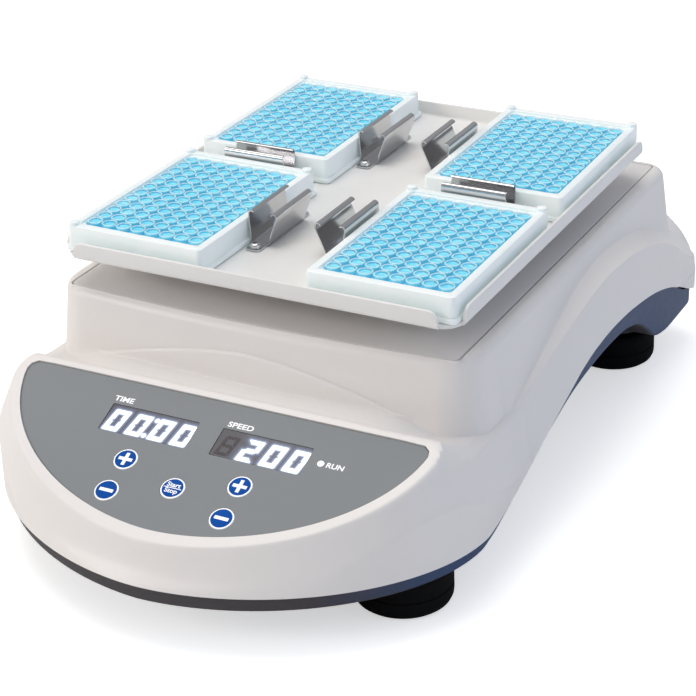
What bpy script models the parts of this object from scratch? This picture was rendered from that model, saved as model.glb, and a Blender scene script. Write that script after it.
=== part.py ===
"""Four-plate orbital vortex mixer (microplate mixer), modelled as an assembly.

Frame: +X right, +Y back, +Z up, metres; the feet stand on z = 0 and the console faces -Y.
Dimensions are in millimetres and scaled by MM. Their zero in plan is the centre of the
tray's orbit; at the end everything moves along Y, so that the origin is the middle of the
footprint.
"""
import bpy
import bmesh
import math
from collections import namedtuple
import numpy as np
from mathutils import Vector, Matrix

for old_object in list(bpy.data.objects):
    bpy.data.objects.remove(old_object, do_unlink=True)

MM = 0.001

# ---------------------------------------------------------------- shared dimensions
FIT_GAP = 0.35                           # small gap between stacked parts
ROUND_ANGLE = 40                         # edges sharper than this stay sharp on turned parts
# signs of x and y at the four corners
CORNERS = (("front_left", -1, -1), ("front_right", 1, -1), ("rear_left", -1, 1), ("rear_right", 1, 1))

# orbit: the tray rests at the back of its circle
ORBIT_R = 1.5
TRAY_X, TRAY_Y = 0.0, ORBIT_R
# tray (sheet steel, folded flanges)
TRAY_HALF_X, TRAY_HALF_Y, TRAY_T = 117.0, 139.0, 2.0
TRAY_Z = 135.65                          # underside of the tray floor
TRAY_FLOOR_Z = TRAY_Z + TRAY_T
POST_DX, POST_DY = 78.0, 92.0            # posts from the tray centre

# plan outline of the casing: superelliptic nose, straight sides, rounded rear corners
BODY_HALF_X = 139.0
NOSE_Y = -145.0                          # where the nose meets the straight sides
NOSE_LENGTH, NOSE_POWER = 116.0, 1.84
REAR_Y, REAR_R = 193.0, 20.0
EDGE_Z = 32.0                            # lower edge of the white housing at its lowest
TOP_Z = 118.0                            # top of housing and cover
COVER_T = 3.0

# console: rim in plan, and the plane z = CONSOLE_Z + CONSOLE_SLOPE * (y - CONSOLE_Y)
CONSOLE_Y, CONSOLE_Z, CONSOLE_SLOPE = -165.0, 88.5, 0.42
RIM_HALF_X, RIM_LENGTH, RIM_POWER = 124.0, 86.0, 1.85
RIM_BACK_Y = -162.0

# mains inlet in the rear wall
INLET_X, INLET_Z = -58.0, 51.0
INLET_BACK_Y = 195.4                     # outer face of the inlet flange

# Lower edge of the white housing, a long low arch: (y, z)
HOUSING_EDGE = (
    (-262, 32), (-148, 32), (-135, 33.5), (-117, 37.5), (-82, 48.5), (-67, 53.5), (-35, 63),
    (-17, 68), (3, 71), (25, 72), (48, 71), (73, 68), (96, 64), (117, 58.5), (143, 49),
    (172, 36), (186, 32.5), (200, 32))
# Lower edge of the base pan: (y, z)
PAN_EDGE = (
    (-262, 23), (-148, 23), (-135, 24.5), (-117, 29), (-82, 40), (-58, 47.5), (-20, 55.5),
    (4, 57.5), (25, 58), (49, 57), (77, 51), (99, 38), (108, 31), (121, 25.5), (140, 23),
    (200, 23))
PAN_FLOOR = 3.0


# ---------------------------------------------------------------- materials
def material(name, color, roughness, metallic=0.0):
    new_material = bpy.data.materials.new(name)
    new_material.use_nodes = True
    inputs = new_material.node_tree.nodes["Principled BSDF"].inputs
    inputs["Base Color"].default_value = (*color, 1.0)
    inputs["Roughness"].default_value = roughness
    inputs["Metallic"].default_value = metallic
    return new_material


WHITE = material("housing_white", color=(0.80, 0.79, 0.77), roughness=0.45)
DARK = material("base_dark", color=(0.045, 0.055, 0.085), roughness=0.5)
RUBBER = material("rubber_black", color=(0.01, 0.01, 0.01), roughness=0.8)
TRAY_WHITE = material("tray_white", color=(0.82, 0.81, 0.79), roughness=0.4)
SPRING_STEEL = material("spring_steel", color=(0.62, 0.62, 0.62), roughness=0.22, metallic=1.0)
GREY = material("overlay_grey", color=(0.26, 0.28, 0.29), roughness=0.5)
BLUE = material("key_blue", color=(0.0, 0.09, 0.40), roughness=0.4)
GLASS = material("display_dark", color=(0.02, 0.02, 0.025), roughness=0.15)
LED_WHITE = material("led_white", color=(0.9, 0.9, 0.9), roughness=0.3)
BOARD_GREEN = material("board_green", color=(0.02, 0.12, 0.05), roughness=0.5)
PLATED_STEEL = material("plated_steel", color=(0.5, 0.5, 0.5), roughness=0.35, metallic=1.0)
ALUMINIUM = material("aluminium", color=(0.65, 0.66, 0.67), roughness=0.35, metallic=1.0)
BELT_BLACK = material("belt_black", color=(0.02, 0.02, 0.02), roughness=0.7)
PLATE_CLEAR = material("plate_clear", color=(0.78, 0.86, 0.88), roughness=0.2)
BLACK = material("inlet_black", color=(0.02, 0.02, 0.02), roughness=0.5)


# ---------------------------------------------------------------- objects
def add_part(name, bm, surface, smooth_angle=None):
    mesh = bpy.data.meshes.new(name)
    bmesh.ops.recalc_face_normals(bm, faces=bm.faces)
    bm.to_mesh(mesh)
    bm.free()
    mesh.materials.append(surface)
    part = bpy.data.objects.new(name, mesh)
    bpy.context.scene.collection.objects.link(part)
    if smooth_angle is not None:
        mesh.shade_smooth()
        mesh.set_sharp_from_angle(angle=math.radians(smooth_angle))
    return part


def add_turned(name, profile, x, y, segments, surface):
    return add_part(name, turned(profile, x, y, segments), surface, ROUND_ANGLE)


def set_origin(part, point):
    """Move an object's origin to a point (mm) without moving its mesh."""
    offset = Vector(point) * MM
    part.data.transform(Matrix.Translation(-offset))
    part.location = offset


def combine(target, name, bm, operation):
    """Boolean the target with a hidden helper object."""
    helper = add_part(name, bm, BLACK)
    helper.hide_render = True
    helper.display_type = 'WIRE'
    modifier = target.modifiers.new(operation.lower() + "_" + name, 'BOOLEAN')
    modifier.operation = operation
    modifier.solver = 'EXACT'
    modifier.object = helper


def cut(target, name, bm):
    combine(target, name, bm, 'DIFFERENCE')


def unite(target, name, bm):
    combine(target, name, bm, 'UNION')


# ---------------------------------------------------------------- outlines and solids
def circle(x, y, radius, segments):
    return [(x + radius * math.cos(2 * math.pi * i / segments),
             y + radius * math.sin(2 * math.pi * i / segments)) for i in range(segments)]


def rectangle(x, y, half_x, half_y):
    return [(x - half_x, y - half_y), (x + half_x, y - half_y),
            (x + half_x, y + half_y), (x - half_x, y + half_y)]


def rounded_rectangle(x, y, half_x, half_y, radius, steps):
    points = []
    for side_x, side_y, start in ((1, 1, 0), (-1, 1, 90), (-1, -1, 180), (1, -1, 270)):
        for i in range(steps + 1):
            angle = math.radians(start + 90.0 * i / steps)
            points.append((x + side_x * (half_x - radius) + radius * math.cos(angle),
                           y + side_y * (half_y - radius) + radius * math.sin(angle)))
    return points


def add_ring(bm, points):
    return [bm.verts.new((x * MM, y * MM, z * MM)) for x, y, z in points]


def bridge(bm, lower, upper):
    """Band of faces between two closed rings of the same count."""
    for i in range(len(lower)):
        j = (i + 1) % len(lower)
        bm.faces.new((lower[i], lower[j], upper[j], upper[i]))


def loft(sections, closed=False):
    """Solid through rings of points; closed joins the last ring to the first."""
    bm = bmesh.new()
    rings = [add_ring(bm, section) for section in sections]
    for lower, upper in zip(rings, rings[1:]):
        bridge(bm, lower, upper)
    if closed:
        bridge(bm, rings[-1], rings[0])
    else:
        bm.faces.new(rings[0][::-1])
        bm.faces.new(rings[-1])
    return bm


def level(outline, z):
    return [(x, y, z) for x, y in outline]


def prism(outline, z0, z1):
    return loft([level(outline, z0), level(outline, z1)])


def box(x0, x1, y0, y1, z0, z1):
    return prism([(x0, y0), (x1, y0), (x1, y1), (x0, y1)], z0, z1)


def turned(profile, x, y, segments):
    """Solid of revolution about Z. Profile: closed (radius, z); radius 0 makes a pole."""
    bm = bmesh.new()
    rings = [add_ring(bm, level(circle(x, y, radius, segments) if radius else [(x, y)], z))
             for radius, z in profile]
    for ring, following in zip(rings, rings[1:] + rings[:1]):
        if len(ring) == 1 and len(following) == 1:
            continue
        if len(ring) > 1 and len(following) > 1:
            bridge(bm, ring, following)
            continue
        for i in range(segments):
            j = (i + 1) % segments
            if len(ring) == 1:
                bm.faces.new((ring[0], following[j], following[i]))
            else:
                bm.faces.new((ring[i], ring[j], following[0]))
    return bm


# ---------------------------------------------------------------- field arithmetic
def smooth_max(first, second, blend):
    share = np.clip(0.5 + 0.5 * (first - second) / blend, 0.0, 1.0)
    return second + (first - second) * share + blend * share * (1.0 - share)


def smooth_min(first, second, blend):
    return -smooth_max(-first, -second, blend)


def smooth_step(start, end, value):
    t = np.clip((value - start) / (end - start), 0.0, 1.0)
    return t * t * (3.0 - 2.0 * t)


def curve(table, at):
    """Smooth curve through (station, value) pairs, without overshoot between them."""
    stations, values = np.array(table, float).T
    step, rise = np.diff(stations), np.diff(values)
    slope = rise / step
    tangent = np.zeros(len(stations))
    for i in range(1, len(stations) - 1):
        if slope[i - 1] * slope[i] > 0:
            weight_a = 2 * step[i] + step[i - 1]
            weight_b = step[i] + 2 * step[i - 1]
            tangent[i] = (weight_a + weight_b) / (weight_a / slope[i - 1] + weight_b / slope[i])
    tangent[0], tangent[-1] = slope[0] * 0.5, slope[-1] * 0.5
    at = np.clip(np.asarray(at, float), stations[0], stations[-1])
    i = np.clip(np.searchsorted(stations, at) - 1, 0, len(stations) - 2)
    span = stations[i + 1] - stations[i]
    t = (at - stations[i]) / span
    return ((2 * t**3 - 3 * t**2 + 1) * values[i] + (t**3 - 2 * t**2 + t) * span * tangent[i]
            + (-2 * t**3 + 3 * t**2) * values[i + 1] + (t**3 - t**2) * span * tangent[i + 1])


def find_edge(depth, low, high):
    """Distance at which depth(distance) falls to zero, by bisection."""
    for _ in range(50):
        middle = 0.5 * (low + high)
        if float(depth(middle)) > 0:
            low = middle
        else:
            high = middle
    return low


# Depths are distances inside an outline in plan, positive inside.
def superellipse_depth(x, y, base_y, half_x, length, power):
    """Approximate depth in a nose that reaches towards -Y from base_y."""
    across = np.abs(x) / half_x
    along = np.clip((base_y - y) / length, 0.0, None)
    reach = (across ** power + along ** power) ** (1.0 / power) + 1e-9
    gradient = np.hypot((across / reach) ** (power - 1) / half_x,
                        (along / reach) ** (power - 1) / length) + 1e-9
    return (1.0 - reach) / gradient


def rounded_corner(first, second, radius):
    """Depth inside two edges whose meeting is rounded."""
    first_rest, second_rest = radius - first, radius - second
    corner = radius - np.hypot(np.clip(first_rest, 0, None), np.clip(second_rest, 0, None))
    return np.where((first_rest > 0) & (second_rest > 0), corner, np.minimum(first, second))


def rounded_rectangle_depth(x, y, half_x, half_y, radius):
    over_x = np.abs(x) - (half_x - radius)
    over_y = np.abs(y) - (half_y - radius)
    return (radius - np.hypot(np.clip(over_x, 0, None), np.clip(over_y, 0, None))
            - np.minimum(np.maximum(over_x, over_y), 0.0))


def outline_depth(x, y):
    nose = superellipse_depth(x, y, NOSE_Y, BODY_HALF_X, NOSE_LENGTH, NOSE_POWER)
    rear = rounded_corner(BODY_HALF_X - np.abs(x), REAR_Y - y, REAR_R)
    return np.where(y < NOSE_Y, nose, rear)


def rim_front_depth(x, y, inset=0.0):
    return superellipse_depth(x, y, CONSOLE_Y, RIM_HALF_X - inset, RIM_LENGTH - inset, RIM_POWER)


# ---------------------------------------------------------------- housing surface
WALL_Z = 112.0                           # where the pedestal wall starts to round over
PED_HALF_X, PED_FRONT_Y, PED_REAR_Y = 122.5, -140.0, 167.0
PED_FRONT_R, PED_REAR_R = 18.0, 15.0     # corner radii in plan
PED_BOW = 4.0                            # sideways bend of the front wall, at x = 100
PED_ROUND = 5.5                          # width of the rounding over the wall's top
SHELF_FALL = 2.2                         # slope of the shelf in front of the console's back edge
RIM_CORNER_R = 7.0
RIM_BACK_SCALE = 0.42                    # makes the console's back face steeper or flatter
FENDER_REAR_Z, FENDER_REAR_SLOPE = 88.0, 0.35

# Crease between pedestal wall and fender: (y, z)
CREASE = (
    (-262, 38), (-245, 42), (-225, 48.5), (-203, 58), (-185, 63), (-172, 66.5), (-160, 72.5),
    (-140, 75.5), (-113, 75.5), (-90, 77.5), (-72, 83), (-53, 88.5), (-21, 97.5), (10, 104.5),
    (34, 107), (55, 106.5), (77, 104), (100, 99.5), (125, 91.5), (142, 84), (160, 74),
    (175, 67), (200, 64))
# Inset of the crease from the casing outline, behind the nose: (y, inset)
CREASE_INSET = (
    (-150, 9), (-120, 12.5), (-60, 12.5), (0, 12.5), (60, 12.5), (120, 12.0), (175, 11.5),
    (200, 11.5))
# Slope of the fender's upper face: (y, rise per mm inwards)
FENDER_SLOPE = (
    (-262, 0.9), (-230, 0.7), (-190, 0.5), (-150, 0.4), (-100, 0.35), (0, 0.40), (60, 0.45),
    (120, 0.7), (150, 0.95), (175, 1.05), (200, 1.05))
# Draft of the outer wall: (y, mm inwards per mm of height)
WALL_DRAFT = (
    (-262, 0.24), (-200, 0.21), (-150, 0.19), (-110, 0.18), (-60, 0.12), (0, 0.07), (60, 0.04),
    (120, 0.03), (200, 0.03))
# Strip between console and pedestal, falling towards both sides: (distance from x = 0, z)
SHELF = ((0, 87.4), (66, 87.4), (84, 86.0), (98, 82.0), (110, 76.0), (124, 64.0), (139, 46.0))


def pedestal_height(x, y):
    center_y = 0.5 * (PED_FRONT_Y + PED_REAR_Y)
    bowed_y = y - PED_BOW * (x / 100.0) ** 2 * smooth_step(-20.0, -130.0, y)
    radius = np.where(bowed_y + y * 0.0 < center_y, 0.0, 0.0)
    radius = np.where(y < center_y, PED_FRONT_R, PED_REAR_R)
    depth = rounded_rectangle_depth(x, bowed_y - center_y, PED_HALF_X,
                                    0.5 * (PED_REAR_Y - PED_FRONT_Y), radius)
    t = np.clip(depth / PED_ROUND, 0.0, 1.0)
    top = WALL_Z + (TOP_Z - WALL_Z) * np.sqrt(1.0 - (1.0 - t) ** 2)
    steepness = np.where(y < -100.0, 9.0, 7.6)
    return np.where(depth > 0, top, WALL_Z + depth * steepness)


def fender_height(x, y):
    depth = outline_depth(x, y)
    crease_z = curve(CREASE, y)
    slope = curve(FENDER_SLOPE, y)
    # behind the pedestal the shelf is higher, so the rear wall is tall and flat
    rear = smooth_step(150.0, 170.0, y) * smooth_step(120.0, 98.0, np.abs(x))
    crease_z = crease_z + rear * (FENDER_REAR_Z - crease_z)
    slope = slope + rear * (FENDER_REAR_SLOPE - slope)
    inset = np.where(y < -150.0, 7.0, curve(CREASE_INSET, y))
    ledge = crease_z - slope * np.clip(inset - depth, -4.0, None)
    wall = EDGE_Z + depth / curve(WALL_DRAFT, y)
    return smooth_min(wall, ledge, 7.0 + 9.0 * smooth_step(-150.0, -90.0, y))


def console_height(x, y):
    depth = rounded_corner(rim_front_depth(x, y), (RIM_BACK_Y - y) * RIM_BACK_SCALE, RIM_CORNER_R)
    plane = CONSOLE_Z + CONSOLE_SLOPE * (y - CONSOLE_Y)
    # the wall below the rim leans more towards the sides
    draft = 0.28 + 0.16 * (np.clip(np.abs(x) / RIM_HALF_X, 0.0, 1.0)) ** 4
    return smooth_min(plane + depth / draft, plane, 2.6)


def shelf_height(x, y):
    return curve(SHELF, np.abs(x)) - SHELF_FALL * np.clip(RIM_BACK_Y - 1.0 - y, 0.0, None)


def housing_height(x, y):
    """Fender, console, shelf and pedestal, blended into one surface."""
    console_blend = 6.0 + 4.0 * smooth_step(-215.0, -180.0, y)
    pedestal_blend = 7.0 + 6.0 * smooth_step(-140.0, -60.0, y)
    height = smooth_max(fender_height(x, y), console_height(x, y), console_blend)
    height = np.where(y > -178.0, smooth_max(height, shelf_height(x, y), 3.5), height)
    height = smooth_max(height, pedestal_height(x, y), pedestal_blend)
    return np.minimum(height, TOP_Z)


# ---------------------------------------------------------------- cover opening
HUB_X, HUB_Y = 0.0, -25.0                # rays of the housing start here
SEAM_HALF_X, SEAM_FRONT_Y, SEAM_REAR_Y = 114.5, -136.0, 160.0
SEAM_BOW, SEAM_R = 5.0, 3.0              # the front edge of the opening bows forward
SEAM_STEPS = (19, 12, 4, 4, 12, 19)      # rays between the front, corner and rear marks


def on_ray(direction, distance):
    return HUB_X + distance * direction[0], HUB_Y + distance * direction[1]


def seam_depth(x, y):
    """Depth inside the opening: a rounded rectangle with a bowed front."""
    front_y = SEAM_FRONT_Y + SEAM_BOW * (x / SEAM_HALF_X) ** 2
    return rounded_rectangle_depth(x, y - 0.5 * (front_y + SEAM_REAR_Y), SEAM_HALF_X,
                                   0.5 * (SEAM_REAR_Y - front_y), SEAM_R)


def seam_rays():
    """(direction, distance to the seam) round the opening, passing through its corners."""
    front = math.atan2(SEAM_FRONT_Y + SEAM_BOW - HUB_Y, SEAM_HALF_X - HUB_X)
    rear = math.atan2(SEAM_REAR_Y - HUB_Y, SEAM_HALF_X - HUB_X)
    marks = (-math.pi / 2, front, rear, math.pi / 2, math.pi - rear, math.pi - front,
             1.5 * math.pi)
    rays = []
    for start, end, steps in zip(marks, marks[1:], SEAM_STEPS):
        for i in range(steps):
            angle = start + (end - start) * i / steps
            direction = (math.cos(angle), math.sin(angle))
            distance = find_edge(lambda r: seam_depth(*on_ray(direction, r)), 0.0, 260.0)
            rays.append((direction, distance))
    return rays


SEAM_RAYS = seam_rays()

# ---------------------------------------------------------------- upper housing
SHELL_SCALE = 0.972                      # inner skin against outer skin, scaled about the hub
PROFILE_POINTS = 15                      # points from the seam to the lower edge
PROFILE_SAMPLES = 3000
BEND_WEIGHT = 9.0                        # how strongly bends attract profile points


def housing_profile(direction, seam_distance):
    """Outer skin along one ray, from the seam to the lower edge."""
    edge_distance = find_edge(lambda r: outline_depth(*on_ray(direction, r)),
                              seam_distance, 330.0)
    t = np.linspace(0.0, 1.0, PROFILE_SAMPLES)
    distance = seam_distance + (edge_distance - seam_distance) * (1.0 - (1.0 - t) ** 2)
    x, y = on_ray(direction, distance)
    z = housing_height(x, y)
    above = np.where(z >= curve(HOUSING_EDGE, y))[0]
    count = above[-1] + 1 if len(above) else len(distance)
    distance, z = distance[:count], z[:count].copy()
    # stretch the profile so that its lower edge lies exactly on the outline
    t = (distance - seam_distance) / (distance[-1] - seam_distance)
    distance = distance + (edge_distance - distance[-1]) * t ** 8
    x, y = on_ray(direction, distance)
    z[-1] = float(curve(HOUSING_EDGE, y[-1]))
    run, rise = np.diff(distance), np.diff(z)
    angle = np.arctan2(rise, run)
    bend = np.abs(np.diff(angle, prepend=angle[0]))
    travel = np.concatenate([[0.0], np.cumsum(np.hypot(run, rise) + BEND_WEIGHT * bend)])
    samples = np.arange(count)
    picks = np.interp(np.linspace(0.0, travel[-1], PROFILE_POINTS), travel, samples)
    return [tuple(float(np.interp(pick, samples, axis)) for axis in (x, y, z)) for pick in picks]


def inner_profile(outer):
    """Inner skin behind every second point of an outer profile."""
    points = [(HUB_X + (x - HUB_X) * SHELL_SCALE, HUB_Y + (y - HUB_Y) * SHELL_SCALE,
               z * SHELL_SCALE) for x, y, z in outer[::2]]
    points[0] = (outer[0][0], outer[0][1], TOP_Z - COVER_T)
    x, y, _ = points[-1]
    points[-1] = (x, y, float(curve(HOUSING_EDGE, y)))
    return points


def housing_bm():
    bm = bmesh.new()
    loops = []
    for direction, seam_distance in SEAM_RAYS:
        outer = housing_profile(direction, seam_distance)
        loops.append(add_ring(bm, outer + inner_profile(outer)[::-1]))
    for loop, following in zip(loops, loops[1:] + loops[:1]):
        for i in range(len(loop)):
            j = (i + 1) % len(loop)
            bm.faces.new((loop[i], following[i], following[j], loop[j]))
    bmesh.ops.triangulate(bm, faces=bm.faces)
    return bm


housing = add_part("upper_housing", housing_bm(), WHITE, 30)

# ---------------------------------------------------------------- console
# plane coordinates: u to the right, v up the slope, w out of the plane
SLOPE_LENGTH = math.sqrt(1.0 + CONSOLE_SLOPE ** 2)
CONSOLE_ORIGIN = Vector((0.0, CONSOLE_Y, CONSOLE_Z))
AXIS_U = Vector((1.0, 0.0, 0.0))
AXIS_V = Vector((0.0, 1.0, CONSOLE_SLOPE)) / SLOPE_LENGTH
AXIS_W = Vector((0.0, -CONSOLE_SLOPE, 1.0)) / SLOPE_LENGTH

WINDOW_U, WINDOW_V = 51.5, 17.8          # window size
WINDOWS = {"time_display": (-32.0, -26.0), "speed_display": (33.3, -26.0)}
KEYS = {"key_time_up": (-33.0, -49.3), "key_time_down": (-33.0, -69.8),
        "key_start_stop": (0.0, -59.5),
        "key_speed_up": (33.0, -49.3), "key_speed_down": (33.0, -69.8)}
KEY_R, KEY_STEM_R = 6.4, 3.6
LED_U, LED_V = 66.3, -25.0
STEM_BASE = -7.5                         # lower end of key stems and LED
RECESS_FLOOR = -2.2
OVERLAY_INSET, OVERLAY_T = 6.5, 1.0      # inset from the rim edge, thickness
OVERLAY_BASE = RECESS_FLOOR + FIT_GAP
OVERLAY_TOP = OVERLAY_BASE + OVERLAY_T
OUTLINE_CENTER_Y = -196.0                # rays of the console outline start here
OUTLINE_SEGMENTS = 48


def on_console(u, v, w):
    return CONSOLE_ORIGIN + AXIS_U * u + AXIS_V * v + AXIS_W * w


def console_prism(outline, w0, w1):
    return loft([[on_console(u, v, w) for u, v in outline] for w in (w0, w1)])


def console_turned(u, v, profile, segments):
    """Turned solid on an axis normal to the console; profile (radius, w)."""
    bm = turned(profile, 0, 0, segments)
    axes = Matrix((AXIS_U, AXIS_V, AXIS_W)).transposed().to_4x4()
    place = Matrix.Translation(on_console(u, v, 0.0) * MM) @ axes
    bmesh.ops.transform(bm, matrix=place, verts=bm.verts)
    return bm


def console_outline(inset):
    """D-shaped outline of the console, inset from the rim edge, in u and v."""
    def depth(x, y):
        back = RIM_BACK_Y - 0.65 * inset - y
        return rounded_corner(rim_front_depth(x, y, inset), back, 10.0 - 0.5 * inset)

    points = []
    for cosine, sine in circle(0.0, 0.0, 1.0, OUTLINE_SEGMENTS):
        reach = find_edge(lambda r: depth(r * cosine, OUTLINE_CENTER_Y + r * sine), 0.0, 150.0)
        points.append((reach * cosine,
                       (OUTLINE_CENTER_Y + reach * sine - CONSOLE_Y) * SLOPE_LENGTH))
    return points


def window_outline(name, margin):
    return rectangle(*WINDOWS[name], WINDOW_U / 2 + margin, WINDOW_V / 2 + margin)


def cut_console_holes(target, prefix, window_prefix, window_margin, key_hole, led_hole, depth):
    """Holes for windows, keys and LED; key_hole and led_hole are (radius, segments)."""
    for name in WINDOWS:
        cut(target, window_prefix + name,
            console_prism(window_outline(name, window_margin), -depth, 5.0))
    for name, (u, v) in KEYS.items():
        cut(target, prefix + name, console_prism(circle(u, v, *key_hole), -depth, 5.0))
    cut(target, prefix + "led", console_prism(circle(LED_U, LED_V, *led_hole), -depth, 5.0))


cut(housing, "cut_recess",
    console_prism(console_outline(OVERLAY_INSET - 0.5), RECESS_FLOOR, 12.0))
cut_console_holes(housing, "cut_", "cut_win_", window_margin=0.3, key_hole=(4.4, 10),
                  led_hole=(2.6, 8), depth=25.0)

overlay = add_part("control_overlay",
                   console_prism(console_outline(OVERLAY_INSET), OVERLAY_BASE, OVERLAY_TOP), GREY)
cut_console_holes(overlay, "cut_ov_", "cut_ov_", window_margin=0.0, key_hole=(KEY_R + 0.4, 18),
                  led_hole=(2.3, 10), depth=6.0)

for window in WINDOWS:
    add_part(window, console_prism(window_outline(window, -0.35), -9.0, OVERLAY_TOP - 0.25),
             GLASS)

# each key is a disc in the overlay with a short stem below it
KEY_PROFILE = [(0, STEM_BASE), (KEY_STEM_R, STEM_BASE), (KEY_STEM_R, OVERLAY_BASE + 0.2),
               (KEY_R, OVERLAY_BASE + 0.2), (KEY_R, OVERLAY_TOP + 0.2), (0, OVERLAY_TOP + 0.2)]
for key_name, (key_u, key_v) in KEYS.items():
    key = add_part(key_name, console_turned(key_u, key_v, KEY_PROFILE, 18), BLUE, ROUND_ANGLE)
    set_origin(key, on_console(key_u, key_v, 0.0))

LED_PROFILE = [(0, STEM_BASE), (1.9, STEM_BASE), (1.9, OVERLAY_TOP - 0.1),
               (1.2, OVERLAY_TOP + 0.2), (0, OVERLAY_TOP + 0.2)]
add_part("run_led", console_turned(LED_U, LED_V, LED_PROFILE, 10), LED_WHITE, ROUND_ANGLE)

BOARD_OUTLINE = [(-75, -50), (-44, -76), (44, -76), (75, -50), (75, -14), (-75, -14)]   # (u, v)
add_part("control_pcb", console_prism(BOARD_OUTLINE, -11.0, -9.4), BOARD_GREEN)

# ---------------------------------------------------------------- mains inlet
ROCKER_X, ROCKER_Y = INLET_X + 15.5, 189.6
ROCKER_HALF_X, ROCKER_TILT = 5.0, 6.0    # tilt in degrees
# Side profile of the rocker from its axis: (z, y)
ROCKER_PROFILE = ((-9.4, 1.5), (-9.2, 4.6), (0.0, 3.6), (9.2, 4.6), (9.4, 1.5),
                  (5.0, -5.0), (-5.0, -5.0))


def inlet_box(x, half_x, y0, y1, half_z):
    return box(x - half_x, x + half_x, y0, y1, INLET_Z - half_z, INLET_Z + half_z)


def rocker_bm():
    cosine, sine = math.cos(math.radians(ROCKER_TILT)), math.sin(math.radians(ROCKER_TILT))
    profile = [(ROCKER_Y + y * cosine - z * sine, INLET_Z + y * sine + z * cosine)
               for z, y in ROCKER_PROFILE]
    return loft([[(ROCKER_X + side * ROCKER_HALF_X, y, z) for y, z in profile]
                 for side in (-1, 1)])


cut(housing, "cut_inlet", inlet_box(INLET_X, 24.0, 160.0, 205.0, 14.0))
inlet = add_part("power_inlet", inlet_box(INLET_X, 23.4, 172.0, 194.5, 13.4), BLACK)
unite(inlet, "inlet_flange", inlet_box(INLET_X, 28.0, INLET_BACK_Y - 2.0, INLET_BACK_Y, 15.5))
cut(inlet, "cut_socket", inlet_box(INLET_X - 7.0, 12.0, 178.0, 200.0, 8.0))
cut(inlet, "cut_rocker", inlet_box(ROCKER_X, 5.6, 180.0, 200.0, 10.6))
rocker = add_part("power_rocker", rocker_bm(), BLACK)
set_origin(rocker, (ROCKER_X, ROCKER_Y, INLET_Z))

# ---------------------------------------------------------------- base pan and feet
PAN_INSET, PAN_WALL = 3.0, 3.0           # inset from the housing outline, wall thickness
PAN_GROOVE = 1.2                         # gap between pan and housing edge
FOOT_DX, FOOT_FRONT_Y, FOOT_REAR_Y = 101.0, -168.0, 134.0
BOSS_R, BOSS_Z0, BOSS_Z1 = 22.0, 23.0, 45.0
FOOT_PROFILE = [(0, 0), (21.5, 0), (24.5, 1.2), (26.0, 4.0), (25.2, 22.6), (0, 22.6)]


def half_width(y, inset):
    """Half width of the casing outline at y."""
    half_x, rear_r = BODY_HALF_X - inset, REAR_R - inset
    past_straight = y - (REAR_Y - REAR_R)
    if y < NOSE_Y:
        reach = (NOSE_Y - y) / (NOSE_LENGTH - inset)
        return half_x * (1.0 - reach ** NOSE_POWER) ** (1.0 / NOSE_POWER)
    if past_straight > 0:
        return half_x - rear_r + math.sqrt(max(rear_r * rear_r - past_straight ** 2, 0.0))
    return half_x


def casing_loft(inset, lower_z, upper_z):
    """Solid between two height functions of y, with the casing's plan outline."""
    straight_end = REAR_Y - REAR_R
    stations = [NOSE_Y - (NOSE_LENGTH - inset) * math.cos(math.radians(4.0 + 86.0 * i / 12.0))
                for i in range(13)]
    stations += [NOSE_Y + (straight_end - NOSE_Y) * i / 20 for i in range(1, 21)]
    stations += [straight_end + (REAR_R - inset) * math.sin(math.radians(90.0 * i / 6.0))
                 for i in range(1, 7)]
    sections = []
    for y in stations:
        width, low, high = half_width(y, inset), float(lower_z(y)), float(upper_z(y))
        sections.append([(-width, y, low), (width, y, low), (width, y, high), (-width, y, high)])
    bm = loft(sections)
    bmesh.ops.triangulate(bm, faces=bm.faces)
    return bm


pan = add_part("base_pan", casing_loft(PAN_INSET, lambda y: curve(PAN_EDGE, y),
                                       lambda y: curve(HOUSING_EDGE, y) - PAN_GROOVE), DARK)
for i, side in enumerate((-1, 1)):
    unite(pan, "foot_boss_%d" % i,
          prism(circle(side * FOOT_DX, FOOT_REAR_Y, BOSS_R, 24), BOSS_Z0, BOSS_Z1))
cut(pan, "cut_pan", casing_loft(PAN_INSET + PAN_WALL, lambda y: curve(PAN_EDGE, y) + PAN_FLOOR,
                                lambda y: 150.0))

for corner_name, side_x, side_y in CORNERS:
    add_turned("foot_" + corner_name, FOOT_PROFILE, side_x * FOOT_DX,
               FOOT_FRONT_Y if side_y < 0 else FOOT_REAR_Y, 24, RUBBER)

# ---------------------------------------------------------------- top cover
COVER_GAP = 0.8                          # from the seam
POST_HOLE_R = 9.2                        # leaves room for the posts to orbit

cover = add_part("top_cover", prism([on_ray(direction, distance - COVER_GAP)
                                     for direction, distance in SEAM_RAYS],
                                    TOP_Z - COVER_T, TOP_Z), WHITE)
for i, (_, side_x, side_y) in enumerate(CORNERS):
    hole = circle(side_x * POST_DX, side_y * POST_DY, POST_HOLE_R, 20)
    cut(cover, "cut_cover_%d" % i, prism(hole, TOP_Z - 10, TOP_Z + 10))

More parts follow.
